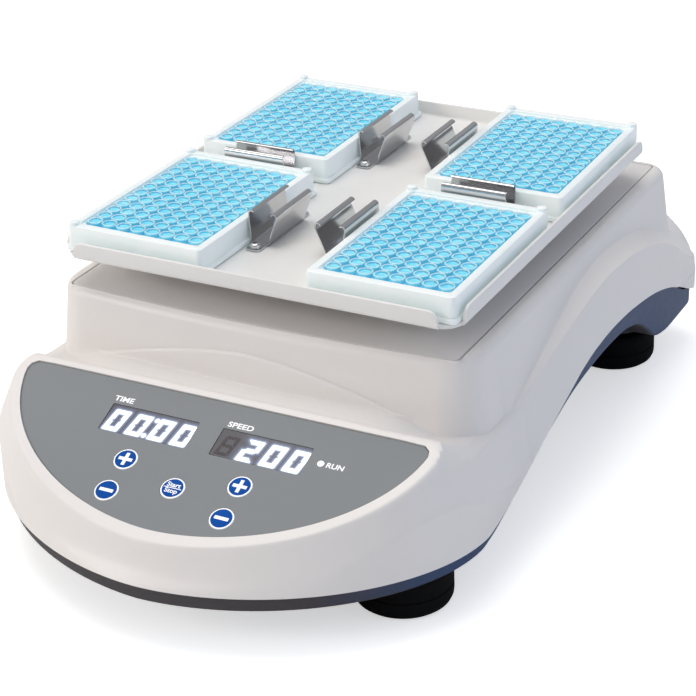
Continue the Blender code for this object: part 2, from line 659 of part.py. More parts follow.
# ---------------------------------------------------------------- drive
DECK_Z0, DECK_Z1 = 66.0, 69.0
DECK_OUTLINE = [(-104, -76), (104, -76), (104, 110), (40, 164), (-40, 164), (-104, 110)]
LEG_XY = ((-98.0, -20.0), (98.0, -20.0), (-98.0, 92.0), (98.0, 92.0))
LEG_R = 5.0
MOTOR_X, MOTOR_Y = 0.0, 132.0
BEARING_Z0, BEARING_Z1 = 62.5, 71.6
FLANGE_Z = DECK_Z1 + 0.4                 # underside of the bearing flange
SHAFT_Z, COLLAR_Z0, COLLAR_Z1, PIN_Z = 63.5, 88.5, 91.0, 99.0
RUN_GAP = 0.5                            # radial gap round shafts and pins
DRIVE_ORIGIN_Z = 76.0                    # height of the origins of rotating parts
PULLEY_Z0, PULLEY_Z1 = 72.0, 83.0
DRIVEN_R, DRIVEN_FLANGE_R, DRIVEN_BORE_R = 27.0, 29.5, 6.4
MOTOR_PULLEY_R, MOTOR_FLANGE_R, MOTOR_SHAFT_R = 9.0, 11.0, 3.0
WEIGHT_R = 28.0
BELT_GAP, BELT_T, BELT_Z0, BELT_Z1 = 0.5, 1.6, 74.5, 80.5

# the radii are those of the shaft, pin and collar, and of the bearing's body and flange
Crank = namedtuple("Crank", "tag shaft_name bearing_name x y shaft_r pin_r collar_r "
                            "body_r flange_r shaft_segments bearing_segments")
IDLER_SIZES = (5.0, 4.0, 8.0, 10.6, 15.0, 18, 20)
MAIN = Crank("main", "crank_shaft", "main_bearing", 0.0, 12.0, 6.0, 5.0, 10.0, 13.6, 19.0, 20, 24)
CRANKS = (
    MAIN,
    Crank("idler0", "idler_crank_left", "idler_bearing_left", -84.0, -52.0, *IDLER_SIZES),
    Crank("idler1", "idler_crank_right", "idler_bearing_right", 84.0, -52.0, *IDLER_SIZES))


def crank_bm(crank):
    """Shaft, collar and eccentric pin in one piece."""
    pin_x, pin_y = crank.x + TRAY_X, crank.y + TRAY_Y
    return loft([level(circle(x, y, radius, crank.shaft_segments), z) for x, y, radius, z in (
        (crank.x, crank.y, crank.shaft_r, SHAFT_Z), (crank.x, crank.y, crank.shaft_r, COLLAR_Z0),
        (crank.x, crank.y, crank.collar_r, COLLAR_Z0),
        (crank.x, crank.y, crank.collar_r, COLLAR_Z1),
        (pin_x, pin_y, crank.pin_r, COLLAR_Z1), (pin_x, pin_y, crank.pin_r, PIN_Z))])


def pulley_rim(flange_r, belt_r):
    """Outer profile of a pulley with a flange at both ends."""
    return [(flange_r, PULLEY_Z0), (flange_r, PULLEY_Z0 + 1.2), (belt_r, PULLEY_Z0 + 1.6),
            (belt_r, PULLEY_Z1 - 1.6), (flange_r, PULLEY_Z1 - 1.2), (flange_r, PULLEY_Z1)]


def belt_loop(extra):
    """Open belt line round both pulleys, at a distance outside the belt's inner face."""
    driven_r, motor_r = DRIVEN_R + BELT_GAP, MOTOR_PULLEY_R + BELT_GAP
    spacing = math.hypot(MOTOR_X - MAIN.x, MOTOR_Y - MAIN.y)
    wrap = math.acos((driven_r - motor_r) / spacing)
    quarter = math.radians(90.0)
    points = []
    for x, y, radius, start, sweep, steps in (
            (MAIN.x, MAIN.y, driven_r, quarter + wrap, 2 * math.pi - 2 * wrap, 20),
            (MOTOR_X, MOTOR_Y, motor_r, quarter - wrap, 2 * wrap, 10)):
        for i in range(steps + 1):
            angle = start + sweep * i / steps
            points.append((x + (radius + extra) * math.cos(angle),
                           y + (radius + extra) * math.sin(angle)))
    return points


deck = add_part("drive_deck", prism(DECK_OUTLINE, DECK_Z0, DECK_Z1), PLATED_STEEL)
for i, (x, y) in enumerate(LEG_XY):
    pan_z = max(float(curve(PAN_EDGE, y - 6)), float(curve(PAN_EDGE, y + 6)))
    unite(deck, "leg_%d" % i,
          prism(circle(x, y, LEG_R, 10), pan_z + PAN_FLOOR + 0.5, DECK_Z0 + 1.5))
for crank in CRANKS:
    hole = circle(crank.x, crank.y, crank.body_r + 0.6, crank.bearing_segments)
    cut(deck, "cut_deck_" + crank.tag, prism(hole, 40, 90))
cut(deck, "cut_deck_motor", prism(circle(MOTOR_X, MOTOR_Y, 9.4, 20), 40, 90))

for crank in CRANKS:
    bore_r = crank.shaft_r + RUN_GAP
    add_turned(crank.bearing_name,
               [(bore_r, BEARING_Z0), (crank.body_r, BEARING_Z0), (crank.body_r, FLANGE_Z),
                (crank.flange_r, FLANGE_Z), (crank.flange_r, BEARING_Z1), (bore_r, BEARING_Z1)],
               crank.x, crank.y, crank.bearing_segments, PLATED_STEEL)
    shaft = add_part(crank.shaft_name, crank_bm(crank), PLATED_STEEL, ROUND_ANGLE)
    set_origin(shaft, (crank.x, crank.y, DRIVE_ORIGIN_Z))

MOTOR_PROFILE = [(0, 37.0), (23.5, 37.0), (25.0, 39.0), (25.0, 62.0), (23.5, 65.5), (8.8, 65.5),
                 (8.8, 70.0), (3.5, 70.0), (3.5, 52.0), (0, 52.0)]
add_turned("motor", MOTOR_PROFILE, MOTOR_X, MOTOR_Y, 28, ALUMINIUM)
add_part("power_supply", box(-90, -38, 116, 162, 32.0, 58.0), BOARD_GREEN)

motor_pulley = add_turned(
    "motor_pulley",
    [(0, 54.0), (MOTOR_SHAFT_R, 54.0), (MOTOR_SHAFT_R, PULLEY_Z0),
     *pulley_rim(MOTOR_FLANGE_R, MOTOR_PULLEY_R), (0, PULLEY_Z1)],
    MOTOR_X, MOTOR_Y, 20, ALUMINIUM)
set_origin(motor_pulley, (MOTOR_X, MOTOR_Y, DRIVE_ORIGIN_Z))
driven_pulley = add_turned(
    "driven_pulley",
    [(DRIVEN_BORE_R, PULLEY_Z0), *pulley_rim(DRIVEN_FLANGE_R, DRIVEN_R),
     (DRIVEN_BORE_R, PULLEY_Z1)],
    MAIN.x, MAIN.y, 28, ALUMINIUM)
set_origin(driven_pulley, (MAIN.x, MAIN.y, DRIVE_ORIGIN_Z))

# half disc to the front of the crank axis, opposite the pin
weight_outline = [(MAIN.x + WEIGHT_R * math.cos(angle), MAIN.y + WEIGHT_R * math.sin(angle))
                  for angle in (math.radians(180.0 + 180.0 * i / 12.0) for i in range(13))]
weight_outline += [(MAIN.x + 10.0, MAIN.y + 9.0), (MAIN.x - 10.0, MAIN.y + 9.0)]
weight = add_part("counterweight", prism(weight_outline, 83.5, 88.0), PLATED_STEEL)
cut(weight, "cut_cw", prism(circle(MAIN.x, MAIN.y, DRIVEN_BORE_R, 20), 80, 100))
set_origin(weight, (MAIN.x, MAIN.y, 86.0))

belt_inner, belt_outer = belt_loop(0.0), belt_loop(BELT_T)
add_part("drive_belt", loft([level(belt_inner, BELT_Z0), level(belt_outer, BELT_Z0),
                             level(belt_outer, BELT_Z1), level(belt_inner, BELT_Z1)],
                            closed=True), BELT_BLACK)

# ---------------------------------------------------------------- carrier and posts
CARRIER_Z0, CARRIER_Z1 = 92.0, 96.0
POST_R = 6.5


def ride_on_pin(part):
    """Put an orbiting part's origin on the main crank pin."""
    set_origin(part, (MAIN.x + TRAY_X, MAIN.y + TRAY_Y, 94.0))


carrier = add_part("carrier_plate",
                   prism(rounded_rectangle(TRAY_X, TRAY_Y, 92.0, 104.0, 10.0, 3),
                         CARRIER_Z0, CARRIER_Z1), ALUMINIUM)
for crank in CRANKS:
    hole = circle(crank.x + TRAY_X, crank.y + TRAY_Y, crank.pin_r + RUN_GAP,
                  crank.shaft_segments)
    cut(carrier, "cut_car_" + crank.tag, prism(hole, 80, 110))
for i, side in enumerate((-1, 1)):
    window = rounded_rectangle(TRAY_X + side * 45, TRAY_Y + 55, 26, 30, 8, 2)
    cut(carrier, "cut_car_light%d" % i, prism(window, 80, 110))
ride_on_pin(carrier)

post_z0, post_z1 = CARRIER_Z1 + FIT_GAP, TRAY_Z - FIT_GAP
for corner_name, side_x, side_y in CORNERS:
    ride_on_pin(add_turned("post_" + corner_name,
                           [(0, post_z0), (POST_R, post_z0), (POST_R, post_z1), (0, post_z1)],
                           TRAY_X + side_x * POST_DX, TRAY_Y + side_y * POST_DY, 14, ALUMINIUM))

# ---------------------------------------------------------------- tray
FLANGE_H = 10.0                          # from the underside of the floor
FLANGE_END = 11.0                        # flanges stop this far from the tray's corners
FLANGE_R = 5.5                           # rounding of a flange's upper ends
ROOT_DEPTH = 3.0                         # strips that tie the flanges to the floor
# side, whether it runs along X, sign of its outward direction
TRAY_SIDES = (("F", True, -1), ("B", True, 1), ("L", False, -1), ("R", False, 1))


def tray_point(along_x, sign, along, inset):
    """Plan point on a side of the tray, at a distance inside its outer face."""
    if along_x:
        return TRAY_X + along, TRAY_Y + sign * (TRAY_HALF_Y - inset)
    return TRAY_X + sign * (TRAY_HALF_X - inset), TRAY_Y + along


def flange_half_length(along_x):
    return (TRAY_HALF_X if along_x else TRAY_HALF_Y) - FLANGE_END


def flange_bm(along_x, sign):
    half = flange_half_length(along_x)
    center_z = TRAY_Z + FLANGE_H - FLANGE_R
    profile = [(-half, TRAY_Z), (half, TRAY_Z)]
    for end, start in ((1, 0.0), (-1, 90.0)):
        for i in range(5):
            angle = math.radians(start + 90.0 * i / 4.0)
            profile.append((end * (half - FLANGE_R) + FLANGE_R * math.cos(angle),
                            center_z + FLANGE_R * math.sin(angle)))
    return loft([[(*tray_point(along_x, sign, along, inset), z) for along, z in profile]
                 for inset in (0.0, TRAY_T)])


def root_bm(along_x, sign):
    half = flange_half_length(along_x)
    outline = [tray_point(along_x, sign, along, inset) for along, inset in
               ((-half, 0.0), (half, 0.0), (half, ROOT_DEPTH), (-half, ROOT_DEPTH))]
    return prism(outline, TRAY_Z, TRAY_FLOOR_Z)


tray = add_part("tray", prism(rounded_rectangle(TRAY_X, TRAY_Y, TRAY_HALF_X - TRAY_T,
                                                TRAY_HALF_Y - TRAY_T, 12.0, 4),
                              TRAY_Z, TRAY_FLOOR_Z), TRAY_WHITE)
for side_name, along_x, sign in TRAY_SIDES:
    unite(tray, "flange_" + side_name, flange_bm(along_x, sign))
for side_name, along_x, sign in TRAY_SIDES:
    unite(tray, "root_" + side_name, root_bm(along_x, sign))
ride_on_pin(tray)

# ---------------------------------------------------------------- spring clips
CLIP_T = 0.9
CLIP_Z = TRAY_FLOOR_Z + FIT_GAP
LEAF_LENGTH, LIP_R = 15.4, 2.2
# name, x and y from the tray centre, whether it runs along X, width between the leaves,
# leaf length along the clip, tab length, lean of the two leaves in degrees
CLIPS = (
    ("clip_left_mid", -69.0, 0.0, True, 10.4, 38.8, 7.5, 3.0, 3.0),
    ("clip_right_mid", 67.4, 0.0, True, 10.4, 38.8, 7.5, 3.0, 3.0),
    ("clip_rear_a", -22.4, 67.0, False, 11.0, 41.2, 9.0, 0.6, 19.5),
    ("clip_front_a", -22.4, -64.8, False, 11.0, 41.2, 9.0, 0.6, 19.5),
    ("clip_rear_b", 22.4, 67.5, False, 11.0, 41.2, 9.0, 19.5, 0.6),
    ("clip_front_b", 22.4, -64.8, False, 11.0, 41.2, 9.0, 19.5, 0.6))


def leaf_path(side, half_width_x, lean):
    """(x, z) points up one leaf and round its lip, which curls inward."""
    lean = math.radians(lean)
    top_x = side * (half_width_x + LEAF_LENGTH * math.sin(lean))
    top_z = LEAF_LENGTH * math.cos(lean)
    lip_x, lip_z = top_x - side * LIP_R * math.cos(lean), top_z + LIP_R * math.sin(lean)
    points = [(side * half_width_x, 0.0), (top_x, top_z)]
    for i in range(1, 7):
        angle = lean + math.radians(23.0 * i)
        points.append((lip_x + side * LIP_R * math.cos(angle), lip_z + LIP_R * math.sin(angle)))
    return points


def offset_path(points, distance):
    """Path moved to its left, mitred at the bends."""
    moved = []
    last = len(points) - 1
    for i, (x, z) in enumerate(points):
        before, after = points[max(i - 1, 0)], points[min(i + 1, last)]
        step_x, step_z = after[0] - before[0], after[1] - before[1]
        length = math.hypot(step_x, step_z)
        reach = distance
        if 0 < i < last:
            arrive = (x - before[0], z - before[1])
            leave = (after[0] - x, after[1] - z)
            cosine = max(-0.9, (arrive[0] * leave[0] + arrive[1] * leave[1])
                         / (math.hypot(*arrive) * math.hypot(*leave)))
            reach = distance / math.sqrt((1 + cosine) / 2)
        moved.append((x - step_z / length * reach, z + step_x / length * reach))
    return moved


def clip_bm(width, length, left_lean, right_lean):
    """Bent strip along Y: base on z = 0 centred on the origin, two leaves with rolled tops."""
    outer = leaf_path(-1, width / 2, left_lean)[::-1] + leaf_path(1, width / 2, right_lean)
    half = length / 2
    return loft([[(x0, -half, z0), (x0, half, z0), (x1, half, z1), (x1, -half, z1)]
                 for (x0, z0), (x1, z1) in zip(outer, offset_path(outer, CLIP_T))])


def add_clip(name, dx, dy, along_x, width, length, tab, left_lean, right_lean):
    x, y = TRAY_X + dx, TRAY_Y + dy
    end = length / 2 + tab
    strip = clip_bm(width, length, left_lean, right_lean)
    tabs = box(-width / 2 + 0.6, width / 2 - 0.6, -end, end, 0.0, CLIP_T)
    place = Matrix.Translation(Vector((x, y, CLIP_Z)) * MM)
    if along_x:
        place = place @ Matrix.Rotation(math.radians(-90.0), 4, 'Z')
    for bm in (strip, tabs):
        bmesh.ops.transform(bm, matrix=place, verts=bm.verts)
    clip = add_part(name, strip, SPRING_STEEL, 30)
    unite(clip, "tabs_" + name, tabs)
    ride_on_pin(clip)
    z = CLIP_Z + CLIP_T + 0.3
    screw_profile = [(0, z), (2.7, z), (2.7, z + 0.9), (1.9, z + 1.8), (0, z + 2.0)]
    for number, side in ((1, -1), (2, 1)):
        shift = side * (end - 3.6)
        screw_x, screw_y = (x + shift, y) if along_x else (x, y + shift)
        ride_on_pin(add_turned("%s_screw_%d" % (name, number), screw_profile,
                               screw_x, screw_y, 10, PLATED_STEEL))


for clip_row in CLIPS:
    add_clip(*clip_row)

# ---------------------------------------------------------------- microplates
PLATE_LENGTH_X, PLATE_LENGTH_Y, PLATE_H = 85.48, 127.76, 14.35   # ANSI/SLAS footprint
PLATE_DX, PLATE_DY = 71.2, 70.6          # plate centres from the tray centre
# From the pocket's ceiling round the skirt and up to the top:
# inset in x, inset in y, corner radius, z
PLATE_LEVELS = (
    (8.2, 10.6, 1.4, 3.0), (2.6, 2.6, 2.0, 3.0), (2.6, 2.6, 2.0, FIT_GAP),
    (0.0, 0.0, 3.2, FIT_GAP), (0.0, 0.0, 3.2, 2.4), (1.2, 1.2, 2.8, 2.8),
    (1.2, 1.2, 2.8, PLATE_H - 1.6), (4.6, 4.6, 2.0, PLATE_H - 1.6), (6.6, 9.0, 2.0, PLATE_H))


def plate_bm():
    """Stepped skirt with a raised well block and a shallow pocket underneath."""
    return loft([level(rounded_rectangle(0, 0, PLATE_LENGTH_X / 2 - inset_x,
                                         PLATE_LENGTH_Y / 2 - inset_y, radius, 2), z)
                 for inset_x, inset_y, radius, z in PLATE_LEVELS])


for corner_name, side_x, side_y in CORNERS:
    plate = add_part("plate_" + corner_name, plate_bm(), PLATE_CLEAR, 35)
    plate.location = Vector((TRAY_X + side_x * PLATE_DX, TRAY_Y + side_y * PLATE_DY,
                             TRAY_FLOOR_Z)) * MM

# ---------------------------------------------------------------- centre the footprint
footprint_center_y = 0.5 * (NOSE_Y - NOSE_LENGTH + INLET_BACK_Y)
for part in bpy.data.objects:
    part.location.y -= footprint_center_y * MM
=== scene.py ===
"""Visual model of the four-plate orbital vortex mixer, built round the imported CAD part.

Lengths below are millimetres in the same design frame as the CAD source (zero under the
middle of the four plates); they are scaled by MM and moved by Y_SHIFT into the row frame.
"""
import bpy
import bmesh
import math
import numpy as np
from mathutils import Vector, Matrix


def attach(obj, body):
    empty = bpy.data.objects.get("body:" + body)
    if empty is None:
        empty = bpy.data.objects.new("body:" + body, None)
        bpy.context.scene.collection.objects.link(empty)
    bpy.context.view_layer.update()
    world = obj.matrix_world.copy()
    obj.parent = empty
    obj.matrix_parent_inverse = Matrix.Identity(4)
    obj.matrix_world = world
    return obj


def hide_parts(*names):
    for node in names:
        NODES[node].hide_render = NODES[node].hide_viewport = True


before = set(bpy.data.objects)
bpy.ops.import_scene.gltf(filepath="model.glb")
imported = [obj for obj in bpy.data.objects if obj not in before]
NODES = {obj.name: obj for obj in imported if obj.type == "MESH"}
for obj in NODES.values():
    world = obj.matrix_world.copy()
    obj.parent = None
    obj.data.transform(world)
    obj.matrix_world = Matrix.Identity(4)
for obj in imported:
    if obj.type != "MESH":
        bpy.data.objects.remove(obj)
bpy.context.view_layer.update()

MM = 0.001
Y_SHIFT = 32.8

# ---------------------------------------------------------------- dimensions
# microplates (ANSI/SLAS footprint, 9 mm well pitch)
PLATE_X, PLATE_Y, PLATE_H = 85.48, 127.76, 14.35
PLATE_CX, PLATE_CY = 71.2, 70.6          # plate centres from the tray centre
# shaking tray (sheet steel, folded flanges)
TRAY_HX, TRAY_HY, TRAY_T = 117.0, 139.0, 2.0
TRAY_Z0 = 135.65                         # underside of the tray floor
TRAY_FLANGE = 10.0                       # flange height from the underside
# orbit
ORBIT_R = 1.5                            # 3 mm orbit diameter
CRANK_XY = (0.0, 12.0)                   # main crank axis
IDLER_XY = ((-84.0, -52.0), (84.0, -52.0))
TRAY_C = (0.0, ORBIT_R)                  # tray centre at rest
# housing
BODY_HX = 139.0                          # half width at the lower edge
NOSE_B, NOSE_N = 116.0, 1.84             # length and exponent of the superelliptic nose
NOSE_Y = -145.0                          # where the nose meets the straight sides
REAR_Y, REAR_R = 193.0, 20.0
EDGE_Z = 32.0                            # lower edge of the white housing
TOP_Z = 118.0                            # top of housing and cover
WALL_Z = 112.0                           # where the pedestal wall starts to round over
PED_HX, PED_YF, PED_YR = 122.5, -140.0, 167.0
PED_RF, PED_RR = 18.0, 15.0
SEAM_HX, SEAM_YF, SEAM_YR = 114.5, -136.0, 160.0
SEAM_BOW, SEAM_R = 5.0, 3.0              # the front edge of the cover bows forward
SHELL_K = 0.972                          # inner skin of the housing, scaled about HUB
HUB = (0.0, -25.0, 0.0)
# console plane z = CON_Z + CON_K*(y - CON_Y)
CON_Z, CON_K, CON_Y = 88.5, 0.42, -165.0
RIM_A, RIM_B, RIM_N, RIM_TOP = 124.0, 86.0, 1.85, -162.0
OV_INSET = 6.5                           # overlay edge inside the rim edge
# base pan
PAN_IN, PAN_FLOOR = 3.0, 3.0
BASE_Z = 23.0
# feet
FOOT_R, FOOT_XY = 26.0, ((-101.0, -168.0), (101.0, -168.0), (-101.0, 134.0), (101.0, 134.0))



def smax(a, b, k):
    h = np.clip(0.5 + 0.5 * (a - b) / k, 0.0, 1.0)
    return b + (a - b) * h + k * h * (1.0 - h)


def smin(a, b, k):
    return -smax(-a, -b, k)


def sstep(a, b, x):
    t = np.clip((x - a) / (b - a), 0.0, 1.0)
    return t * t * (3.0 - 2.0 * t)


def curve(xs, zs, x):
    """Smooth curve through control stations, without overshoot between them."""
    xs = np.asarray(xs, float)
    zs = np.asarray(zs, float)
    dx, dz = np.diff(xs), np.diff(zs)
    sl = dz / dx
    m = np.zeros(len(xs))
    for i in range(1, len(xs) - 1):
        if sl[i - 1] * sl[i] > 0:
            wa, wb = 2 * dx[i] + dx[i - 1], dx[i] + 2 * dx[i - 1]
            m[i] = (wa + wb) / (wa / sl[i - 1] + wb / sl[i])
    m[0], m[-1] = sl[0] * 0.5, sl[-1] * 0.5
    x = np.clip(np.asarray(x, float), xs[0], xs[-1])
    i = np.clip(np.searchsorted(xs, x) - 1, 0, len(xs) - 2)
    h = xs[i + 1] - xs[i]
    t = (x - xs[i]) / h
    return ((2 * t**3 - 3 * t**2 + 1) * zs[i] + (t**3 - 2 * t**2 + t) * h * m[i]
            + (-2 * t**3 + 3 * t**2) * zs[i + 1] + (t**3 - t**2) * h * m[i + 1])


# ------------------------------------------------- housing surface (heights)
def half_width(y, inset=0.0):
    """Half width of the lower outline at station y (elliptic nose, straight sides, round rear)."""
    y = np.asarray(y, float)
    a, b = BODY_HX - inset, NOSE_B - inset
    nose = a * np.clip(1.0 - np.clip((NOSE_Y - y) / b, 0.0, None) ** NOSE_N, 0.0, 1.0) ** (1.0 / NOSE_N)
    rr = REAR_R - inset
    yc = REAR_Y - REAR_R
    rear = a - rr + np.sqrt(np.clip(rr * rr - (y - yc) ** 2, 0.0, None))
    w = np.where(y < NOSE_Y, nose, np.where(y > yc, rear, a))
    return w


def arch_white(y):
    """Height of the white housing's lower edge along the side (a long low arch)."""
    return curve((-262, -148, -135, -117, -82, -67, -35, -17, 3, 25, 48, 73, 96, 117, 143, 172, 186, 200),
                 (32, 32, 33.5, 37.5, 48.5, 53.5, 63, 68, 71, 72, 71, 68, 64, 58.5, 49, 36, 32.5, 32), y)


def arch_dark(y):
    """Height of the base pan's lower edge along the side."""
    return curve((-262, -148, -135, -117, -82, -58, -20, 4, 25, 49, 77, 99, 108, 121, 140, 200),
                 (23, 23, 24.5, 29, 40, 47.5, 55.5, 57.5, 58, 57, 51, 38, 31, 25.5, 23, 23), y)


def crease_z(y):
    """Height of the crease between pedestal wall and fender."""
    return curve((-262, -245, -225, -203, -185, -172, -160, -140, -113, -90, -72, -53, -21, 10, 34, 55, 77, 100, 125, 142, 160, 175, 200),
                 (38, 42, 48.5, 58, 63, 66.5, 72.5, 75.5, 75.5, 77.5, 83, 88.5, 97.5, 104.5, 107, 106.5, 104, 99.5, 91.5, 84, 74, 67, 64), y)


def ledge_slope(y):
    return curve((-262, -230, -190, -150, -100, 0, 60, 120, 150, 175, 200),
                 (0.9, 0.7, 0.5, 0.4, 0.35, 0.40, 0.45, 0.7, 0.95, 1.05, 1.05), y)


def wall_draft(y):
    return curve((-262, -200, -150, -110, -60, 0, 60, 120, 200),
                 (0.24, 0.21, 0.19, 0.18, 0.12, 0.07, 0.04, 0.03, 0.03), y)


def sd_outline(x, y):
    """Approximate inside distance from the lower outline (positive inside)."""
    ax = np.abs(x)
    # nose
    a, b, n = BODY_HX, NOSE_B, NOSE_N
    u, v = ax / a, np.clip((NOSE_Y - y) / b, 0.0, None)
    f = (u ** n + v ** n) ** (1.0 / n) + 1e-9
    g = np.hypot((u / f) ** (n - 1) / a, (v / f) ** (n - 1) / b) + 1e-9
    nose = (1.0 - f) / g
    side = BODY_HX - ax
    rear = REAR_Y - y
    cx, cy = BODY_HX - REAR_R, REAR_Y - REAR_R
    corner = REAR_R - np.hypot(np.clip(ax - cx, 0, None), np.clip(y - cy, 0, None))
    box = np.where((ax > cx) & (y > cy), corner, np.minimum(side, rear))
    return np.where(y < NOSE_Y, nose, box)


def sd_pedestal(x, y):
    """Inside distance from the pedestal wall line at WALL_Z (positive inside)."""
    yy = y - 4.0 * (x / 100.0) ** 2 * sstep(-20.0, -130.0, y)
    cy = 0.5 * (PED_YF + PED_YR)
    hy = 0.5 * (PED_YR - PED_YF)
    r = np.where(y < cy, PED_RF, PED_RR)
    qx = np.abs(x) - (PED_HX - r)
    qy = np.abs(yy - cy) - (hy - r)
    d = np.hypot(np.clip(qx, 0, None), np.clip(qy, 0, None)) + np.minimum(np.maximum(qx, qy), 0.0) - r
    return -d


def sd_rim(x, y, inset=0.0, top=None):
    """Inside distance from the D-shaped console rim (positive inside)."""
    a, b, n = RIM_A - inset, RIM_B - inset, RIM_N
    u = np.abs(x) / a
    v = np.clip(CON_Y - y, 0.0, None) / b
    f = (u ** n + v ** n) ** (1.0 / n) + 1e-9
    # gradient length of the implicit curve
    gx = (u / f) ** (n - 1) / a
    gy = (v / f) ** (n - 1) / b
    d = (1.0 - f) / (np.hypot(gx, gy) + 1e-9)
    if top is None:
        return d
    back = top - y
    r = 10.0 - 0.5 * inset
    # rounded meeting of the curve and the straight back edge
    qa, qb = r - d, r - back
    corner = r - np.hypot(np.clip(qa, 0, None), np.clip(qb, 0, None))
    return np.where((qa > 0) & (qb > 0), corner, np.minimum(d, back))


def console_plane(y):
    return CON_Z + CON_K * (y - CON_Y)


def h_pedestal(x, y):
    q = sd_pedestal(x, y)
    t = np.clip(q / 5.5, 0.0, 1.0)
    top = WALL_Z + (TOP_Z - WALL_Z) * np.sqrt(1.0 - (1.0 - t) ** 2)
    draft = np.where(y < -100.0, 9.0, 7.6)
    return np.where(q > 0, top, WALL_Z + q * draft)


def h_apron(x, y):
    p = sd_outline(x, y)
    zc = crease_z(y)
    sl = ledge_slope(y)
    # behind the pedestal the shelf is higher, so the rear wall is tall and flat
    rear = sstep(150.0, 170.0, y) * sstep(120.0, 98.0, np.abs(x))
    zc = zc + rear * (88.0 - zc)
    sl = sl + rear * (0.35 - sl)
    # distance of the crease inside the lower outline
    pc = np.where(y < -150.0, 7.0, curve((-150, -120, -60, 0, 60, 120, 175, 200), (9, 12.5, 12.5, 12.5, 12.5, 12.0, 11.5, 11.5), y))
    ledge = zc - sl * np.clip(pc - p, -4.0, None)
    wall = EDGE_Z + p / wall_draft(y)
    return smin(wall, ledge, np.where(y < -150.0, 7.0, 7.0 + 9.0 * sstep(-150.0, -90.0, y)))


def h_pod(x, y):
    front = sd_rim(x, y)
    back = (RIM_TOP - y) * 0.42
    r = 7.0
    qa, qb = r - front, r - back
    corner = r - np.hypot(np.clip(qa, 0, None), np.clip(qb, 0, None))
    d = np.where((qa > 0) & (qb > 0), corner, np.minimum(front, back))
    plane = console_plane(y)
    draft = 0.28 + 0.16 * (np.clip(np.abs(x) / RIM_A, 0.0, 1.0)) ** 4
    return smin(plane + d / draft, plane, 2.6)


def h_shelf(x, y):
    """Level strip between the console rim and the pedestal, falling away towards both sides."""
    z = curve((0, 66, 84, 98, 110, 124, 139), (87.4, 87.4, 86.0, 82.0, 76.0, 64.0, 46.0), np.abs(x))
    return z - 2.2 * np.clip(RIM_TOP - 1.0 - y, 0.0, None)


def h_base(x, y):
    near = sstep(-215.0, -180.0, y)
    h = smax(h_apron(x, y), h_pod(x, y), 6.0 + 4.0 * near)
    h = np.where(y > -178.0, smax(h, h_shelf(x, y), 3.5), h)
    return smax(h, h_pedestal(x, y), 7.0 + 6.0 * sstep(-140.0, -60.0, y))


def housing_height(x, y):
    x = np.asarray(x, float)
    y = np.asarray(y, float)
    return np.minimum(h_base(x, y), TOP_Z)


def sd_seam(x, y, inset=0.0):
    """Inside distance from the outline of the cover's opening (rounded rectangle, bowed front)."""
    yf = SEAM_YF + SEAM_BOW * (x / SEAM_HX) ** 2
    cy, hy = 0.5 * (yf + SEAM_YR), 0.5 * (SEAM_YR - yf) - inset
    hx = SEAM_HX - inset
    qx = np.abs(x) - (hx - SEAM_R)
    qy = np.abs(y - cy) - (hy - SEAM_R)
    return SEAM_R - np.hypot(np.clip(qx, 0, None), np.clip(qy, 0, None)) - np.minimum(np.maximum(qx, qy), 0.0)




# ------------------------------------------------------------------ helpers
def bm_prism(outline, z0, z1):
    bm = bmesh.new()
    lo = [bm.verts.new((x, y, z0)) for x, y in outline]
    hi = [bm.verts.new((x, y, z1)) for x, y in outline]
    n = len(outline)
    bm.faces.new(lo[::-1])
    bm.faces.new(hi)
    for i in range(n):
        j = (i + 1) % n
        bm.faces.new((lo[i], lo[j], hi[j], hi[i]))
    return bm


def bm_box(x0, x1, y0, y1, z0, z1):
    return bm_prism([(x0, y0), (x1, y0), (x1, y1), (x0, y1)], z0, z1)


def circle(cx, cy, r, n=48, a0=0.0):
    return [(cx + r * math.cos(a0 + 2 * math.pi * i / n),
             cy + r * math.sin(a0 + 2 * math.pi * i / n)) for i in range(n)]


def rrect(cx, cy, hx, hy, r, n=8):
    pts = []
    for sx, sy, a in ((1, 1, 0), (-1, 1, 90), (-1, -1, 180), (1, -1, 270)):
        for i in range(n + 1):
            t = math.radians(a + 90.0 * i / n)
            pts.append((cx + sx * (hx - r) + r * math.cos(t), cy + sy * (hy - r) + r * math.sin(t)))
    return pts


def bm_turned(profile, cx=0.0, cy=0.0, n=48):
    """Solid of revolution about Z; profile is a closed loop of (r, z)."""
    bm = bmesh.new()
    rings = []
    for r, z in profile:
        if r < 1e-6:
            rings.append([bm.verts.new((cx, cy, z))])
        else:
            rings.append([bm.verts.new((cx + r * math.cos(2 * math.pi * i / n), cy + r * math.sin(2 * math.pi * i / n), z))
                          for i in range(n)])
    m = len(rings)
    for k in range(m):
        a, b = rings[k], rings[(k + 1) % m]
        if len(a) == 1 and len(b) == 1:
            continue
        for i in range(n):
            j = (i + 1) % n
            if len(a) == 1:
                bm.faces.new((a[0], b[j], b[i]))
            elif len(b) == 1:
                bm.faces.new((a[i], a[j], b[0]))
            else:
                bm.faces.new((a[i], a[j], b[j], b[i]))
    return bm


def bm_levels(levels, close=True):
    """Closed body from rings of equal length [[(x, y, z)]], capped at both ends (or joined end to start)."""
    bm = bmesh.new()
    R = [[bm.verts.new(p) for p in lv] for lv in levels]
    n = len(R[0])
    for a, b in zip(R, R[1:] if close else R[1:] + R[:1]):
        for i in range(n):
            j = (i + 1) % n
            bm.faces.new((a[i], a[j], b[j], b[i]))
    if close:
        bm.faces.new(R[0][::-1])
        bm.faces.new(R[-1])
    return bm


